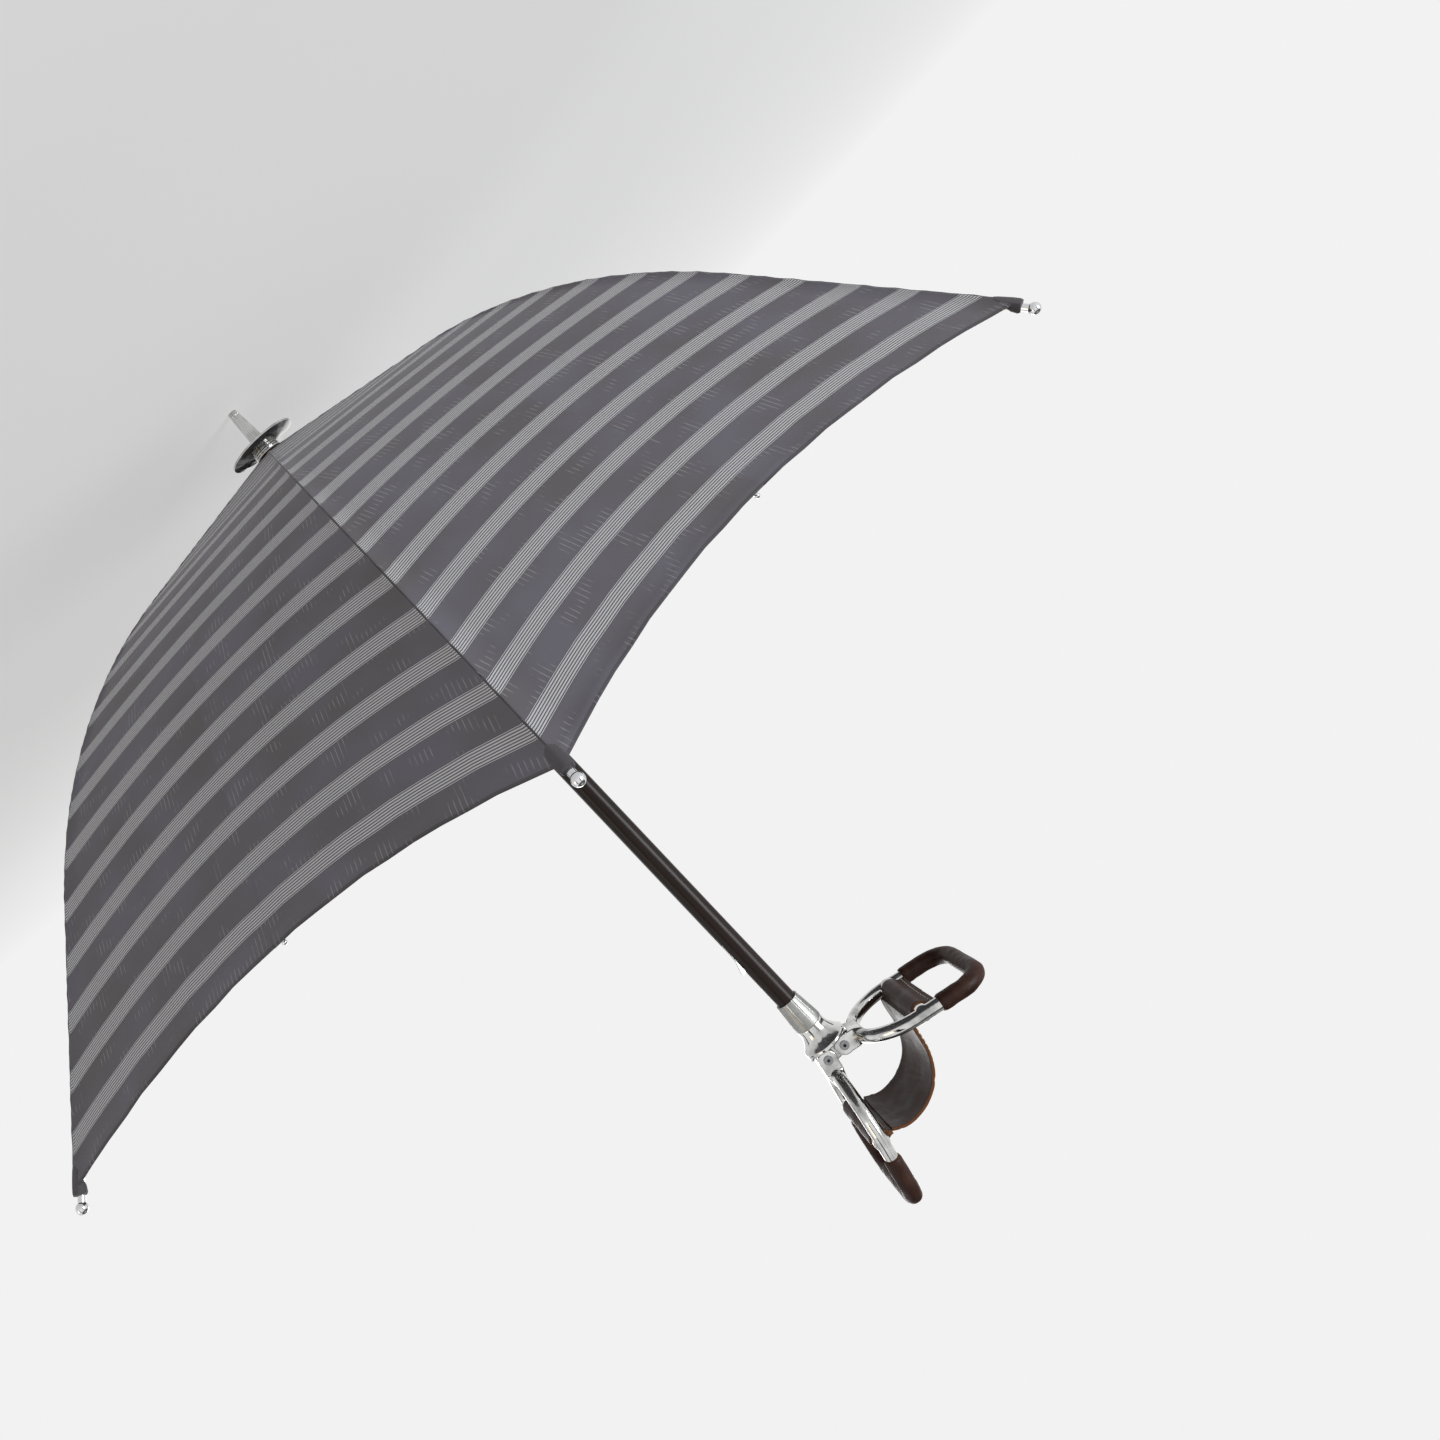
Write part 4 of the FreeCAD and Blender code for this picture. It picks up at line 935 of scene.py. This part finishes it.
def sling_marks(spacing):
    """Points along the sling's middle line on a smooth curve, with the way it runs and its outer way."""
    pivot_z = joints["rear_arm_hinge"]["pos_m"][2]
    curve = bpy.data.curves.new("sling_line", "CURVE")
    curve.dimensions = "3D"
    curve.resolution_u = 24
    spline = curve.splines.new("NURBS")
    spline.points.add(len(SLING_LINE) - 1)
    for point, (x, z) in zip(spline.points, SLING_LINE):
        point.co = (x * MM, 0, pivot_z + z * MM, 1)
    spline.use_endpoint_u = True
    spline.order_u = 3
    holder = bpy.data.objects.new("sling_line", curve)
    bpy.context.scene.collection.objects.link(holder)
    mesh = applied(holder)
    line = [v.co.copy() for v in mesh.vertices]
    bpy.data.meshes.remove(mesh)
    length = [0.0]
    for a, b in zip(line, line[1:]):
        length.append(length[-1] + (b - a).length)
    steps = round(length[-1] / spacing)
    marks = []
    index = 0
    for n in range(steps + 1):
        want = length[-1] * n / steps
        while index < len(line) - 2 and length[index + 1] < want:
            index += 1
        share = (want - length[index]) / (length[index + 1] - length[index])
        marks.append(line[index].lerp(line[index + 1], min(share, 1.0)))
    found = []
    for n, point in enumerate(marks):
        run = (marks[min(n + 1, steps)] - marks[max(n - 1, 0)]).normalized()
        found.append((point, run, Vector((-run.z, 0, run.x)), length[-1] * n / steps))
    return found, length[-1]


def strap_edge(d, total):
    """Half the sling's width: it is drawn in a little over the arch."""
    return STRAP_HALF - 1.4 * MM * math.sin(math.pi * d / total)


def strap_section(point, outer, d, total):
    """A ring of points round the strap's section, with its crown, creases, skin and cut edges."""
    half = strap_edge(d, total)
    flank = []
    for n in range(SLING_POINTS + 1):
        share = n / SLING_POINTS * 2 - 1
        y = share * half
        lift = -1.3 * MM * share ** 4 + 0.9 * MM * math.sin(math.pi * d / total) * (1 - share ** 2)
        for at, deep, slant in CREASES:
            gap = d - total * at - slant * MM * share
            middle = 0.35 + 0.65 * math.cos(share * 2.2) ** 2
            lift -= deep * MM * math.exp(-(gap / CREASE_HALF) ** 2) * middle
        lift += 0.3 * MM * noise.noise(Vector((y, 0, d)) / (11 * MM))
        groove = -0.35 * MM * math.exp(-((half - abs(y) - STITCH_INSET) / (0.9 * MM)) ** 2)
        flank.append((y, lift, groove))

    def cut_edge(y, lift, hand, shift):
        for n in range(1, EDGE_POINTS):
            a = math.pi * n / EDGE_POINTS
            fuzz = EDGE_FUZZ * noise.noise(Vector((d / EDGE_FIBRE, n * 1.7, shift)))
            ring.append(point + outer * (hand * math.cos(a) * STRAP / 2 + lift)
                        + Vector((0, y + hand * (math.sin(a) * EDGE_BULGE + fuzz), 0)))

    ring = [point + outer * (STRAP / 2 + lift + groove) + Vector((0, y, 0)) for y, lift, groove in flank]
    cut_edge(*flank[-1][:2], 1, 0)
    ring += [point + outer * (-STRAP / 2 + lift) + Vector((0, y, 0)) for y, lift, _ in reversed(flank)]
    cut_edge(*flank[0][:2], -1, 9)
    return ring


def sling():
    """Thick leather strap that arches from the front sleeve over the hub to the rear sleeve."""
    marks, total = sling_marks(SLING_SPACING)
    rings = [strap_section(point, outer, d, total) for point, _, outer, d in marks]
    split = min(range(len(marks)), key=lambda n: abs(marks[n][0].x - SLING_MIDDLE_X))
    turned = SLING_POINTS + 1
    seam_at = marks[split][0]

    def kind(r, c):
        if c is None:
            return 1
        first_edge = turned - 1 <= c < turned + EDGE_POINTS - 1
        last_edge = c >= 2 * turned + EDGE_POINTS - 2
        return 1 if first_edge or last_edge else 0

    halves = {"front": rings[:split + 1], "rear": rings[split:]}
    stitch_marks = {"front": [], "rear": []}
    finer, _ = sling_marks(STITCH_PITCH)
    for point, run, outer, d in finer[1:-1]:
        side = "front" if point.x < seam_at.x else "rear"
        for hand in (-1, 1):
            y = hand * (strap_edge(d, total) - STITCH_INSET)
            place = point + outer * (STRAP / 2 - 0.3 * MM) + Vector((0, y, 0))
            stitch_marks[side].append((place, run + Vector((0, 0.1 * hand, 0)), outer))
    foot, _, foot_face, _ = marks[int(len(marks) * 0.05)]
    for n in range(15):
        y = (n / 14 * 2 - 1) * (STRAP_HALF - STITCH_INSET)
        place = foot + foot_face * (STRAP / 2 + 0.1 * MM) + Vector((0, y, 0))
        stitch_marks["front"].append((place, Vector((0, 1, 0)), foot_face))
    for word in ("front", "rear"):
        mesh = swept("sling", halves[word], kind)
        piece = finished(f"sling_{word}_half", mesh, "leather", "raw", slot="dark_leather")
        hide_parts("sling")
        thread = stitched(f"sling_{word}_stitches", stitch_marks[word], "cream", SLING_THREAD, None, seed=5)
        for item in (piece, thread):
            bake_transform(item)
        run = (halves[word][-1][0] - halves[word][0][0]).length


def castings():
    """Arms and hub with the soft corners of polished castings."""
    for node, body in (("front_arm", "front_arm"), ("rear_arm", "rear_arm"), ("hub", "stick")):
        mesh = smooth_castings(node)
        piece = finished(f"{node}_casting", mesh, "alloy", body=body, slot="cast_handle")
        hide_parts(node)


def dress_frame():
    """Gives every CAD node that stays in sight its finish."""
    looks = {
        "alloy": ["spike", "ground_disc", "disc_collar"],
        "casting": ["hub_socket"],
        "enamel": ["shaft"],
        "rivet": ["front_rivet", "rear_rivet"],
        "leather": ["apex_washer"],
        "steel": ["notch_ring", "notch_wire", "runner_stop_pin", "socket_pin", "runner", "runner_wire",
                  "top_spring", "hand_spring"],
        "chrome": [],
    }
    for n in range(1, RIBS + 1):
        looks["steel"] += [f"rib_{n}", f"stretcher_{n}", f"joint_rivet_{n}"]
        looks["chrome"].append(f"rib_tip_{n}")
    for finish, names in looks.items():
        for name in names:
            for slot in nodes[name].material_slots:
                slot.material = FINISHES[finish]


def camera():
    """Level with the stick, which lies across the picture from upper left to lower right."""
    data = bpy.data.cameras.new("camera")
    data.sensor_width = 36.0
    data.lens = LENS
    data.shift_x = SHIFT_X
    data.shift_y = SHIFT_Y
    view = bpy.data.objects.new("camera", data)
    right = Vector((-math.cos(CAMERA_LEAN), 0, math.sin(CAMERA_LEAN)))
    up = Vector((-math.sin(CAMERA_LEAN), 0, -math.cos(CAMERA_LEAN)))
    back = Vector((0, -1, 0))
    view.matrix_world = Matrix((right, up, back)).transposed().to_4x4()
    view.matrix_world.translation = Vector(CAMERA_PLACE)
    bpy.context.scene.collection.objects.link(view)
    bpy.context.scene.camera = view


def floor():
    """Pale painted floor that turns as bright as the sky far from the object, so that no edge shows."""
    mesh = bpy.data.meshes.new("floor")
    r = FLOOR_REACH
    mesh.from_pydata([(-r, -r, 0), (r, -r, 0), (r, r, 0), (-r, r, 0)], [], [(0, 1, 2, 3)])
    ground = bpy.data.objects.new("floor", mesh)
    bpy.context.scene.collection.objects.link(ground)
    floor_paint, tree, shader = new_material("floor_paint", Roughness=0.95, Specular_IOR_Level=0.0)
    shader.inputs["Base Color"].default_value = tint(BACKDROP)
    away = add(tree, "ShaderNodeVectorMath", {0: object_space(tree, (1, 1, 0))}, operation="LENGTH")
    glow = add(tree, "ShaderNodeEmission", {"Color": tint(BACKDROP), "Strength": 1.0}).outputs[0]
    share = spread(tree, away.outputs["Value"], FADE_FROM, FADE_TO, 0.5, 1.0)
    mixed = add(tree, "ShaderNodeMixShader", {0: share})
    tree.links.new(shader.outputs[0], mixed.inputs[1])
    tree.links.new(glow, mixed.inputs[2])
    tree.links.new(mixed.outputs[0], tree.nodes["Material Output"].inputs["Surface"])
    mesh.materials.append(floor_paint)


def sky():
    """Even pale sky with a dark ceiling. The camera and metal see it brighter than it lights."""
    world = bpy.data.worlds.new("sky")
    bpy.context.scene.world = world
    world.use_nodes = True
    tree = world.node_tree
    way = add(tree, "ShaderNodeTexCoord").outputs["Generated"]
    height = add(tree, "ShaderNodeSeparateXYZ", {"Vector": way}).outputs["Z"]
    ramp = add(tree, "ShaderNodeValToRGB", {"Fac": spread(tree, height, -1.0, 1.0)})
    pale = tint(BACKDROP)[0]
    stops = ((0.0, pale), (PALE_TO, pale)) + CEILING
    elements = ramp.color_ramp.elements
    while len(elements) < len(stops):
        elements.new(0.5)
    for element, (at, level) in zip(elements, stops):
        element.position = at
        element.color = (level, level, level, 1)
    background = tree.nodes["Background"]
    tree.links.new(ramp.outputs["Color"], background.inputs["Color"])
    seen = add(tree, "ShaderNodeLightPath").outputs
    shown = calculate(tree, "MAXIMUM", seen["Is Camera Ray"],
                      calculate(tree, "MAXIMUM", seen["Is Glossy Ray"], seen["Is Transmission Ray"]))
    tree.links.new(spread(tree, shown, 0.0, 1.0, SKY_LIGHT, 1.0), background.inputs["Strength"])


def flag(n, x, y, width):
    """An upright card of black felt, facing the object."""
    half = Vector((-y, x, 0)).normalized() * width / 2
    low, high = Vector((x, y, FLAG_FOOT)), Vector((x, y, FLAG_TOP))
    card = bpy.data.meshes.new("flag")
    card.from_pydata([low - half, low + half, high + half, high - half], [], [(0, 1, 2, 3)])
    felt, _, shader = new_material(f"black_felt_{n}", Roughness=1.0, Specular_IOR_Level=0.0)
    shader.inputs["Base Color"].default_value = tint("#1a1a1a")
    card.materials.append(felt)
    piece = bpy.data.objects.new(f"flag_{n}", card)
    piece.visible_camera = False
    piece.visible_diffuse = False
    piece.visible_shadow = False
    bpy.context.scene.collection.objects.link(piece)


def studio():
    """Pale floor and sky, black flags for metal to reflect, and three large soft lamps."""
    scene = bpy.context.scene
    scene.view_settings.view_transform = "Standard"
    floor()
    sky()
    for n, (x, y, width) in enumerate(FLAGS):
        flag(n, x, y, width)
    for name, place, power, size, colour in LAMPS:
        data = bpy.data.lights.new(name, "AREA")
        data.energy = power
        data.size = size
        data.color = colour
        lamp = bpy.data.objects.new(name, data)
        lamp.location = place
        lamp.rotation_euler = (LAMP_AIM - Vector(place)).to_track_quat("-Z", "Y").to_euler()
        scene.collection.objects.link(lamp)


camera()
studio()
dress_frame()
castings()
for word in ("front", "rear"):
    laced_grip(word)
    bar_sleeve(word)
sling()
for rib in range(RIBS):
    for hand in (-1, 1):
        half_panel(rib, hand)
    tip_tab(rib)
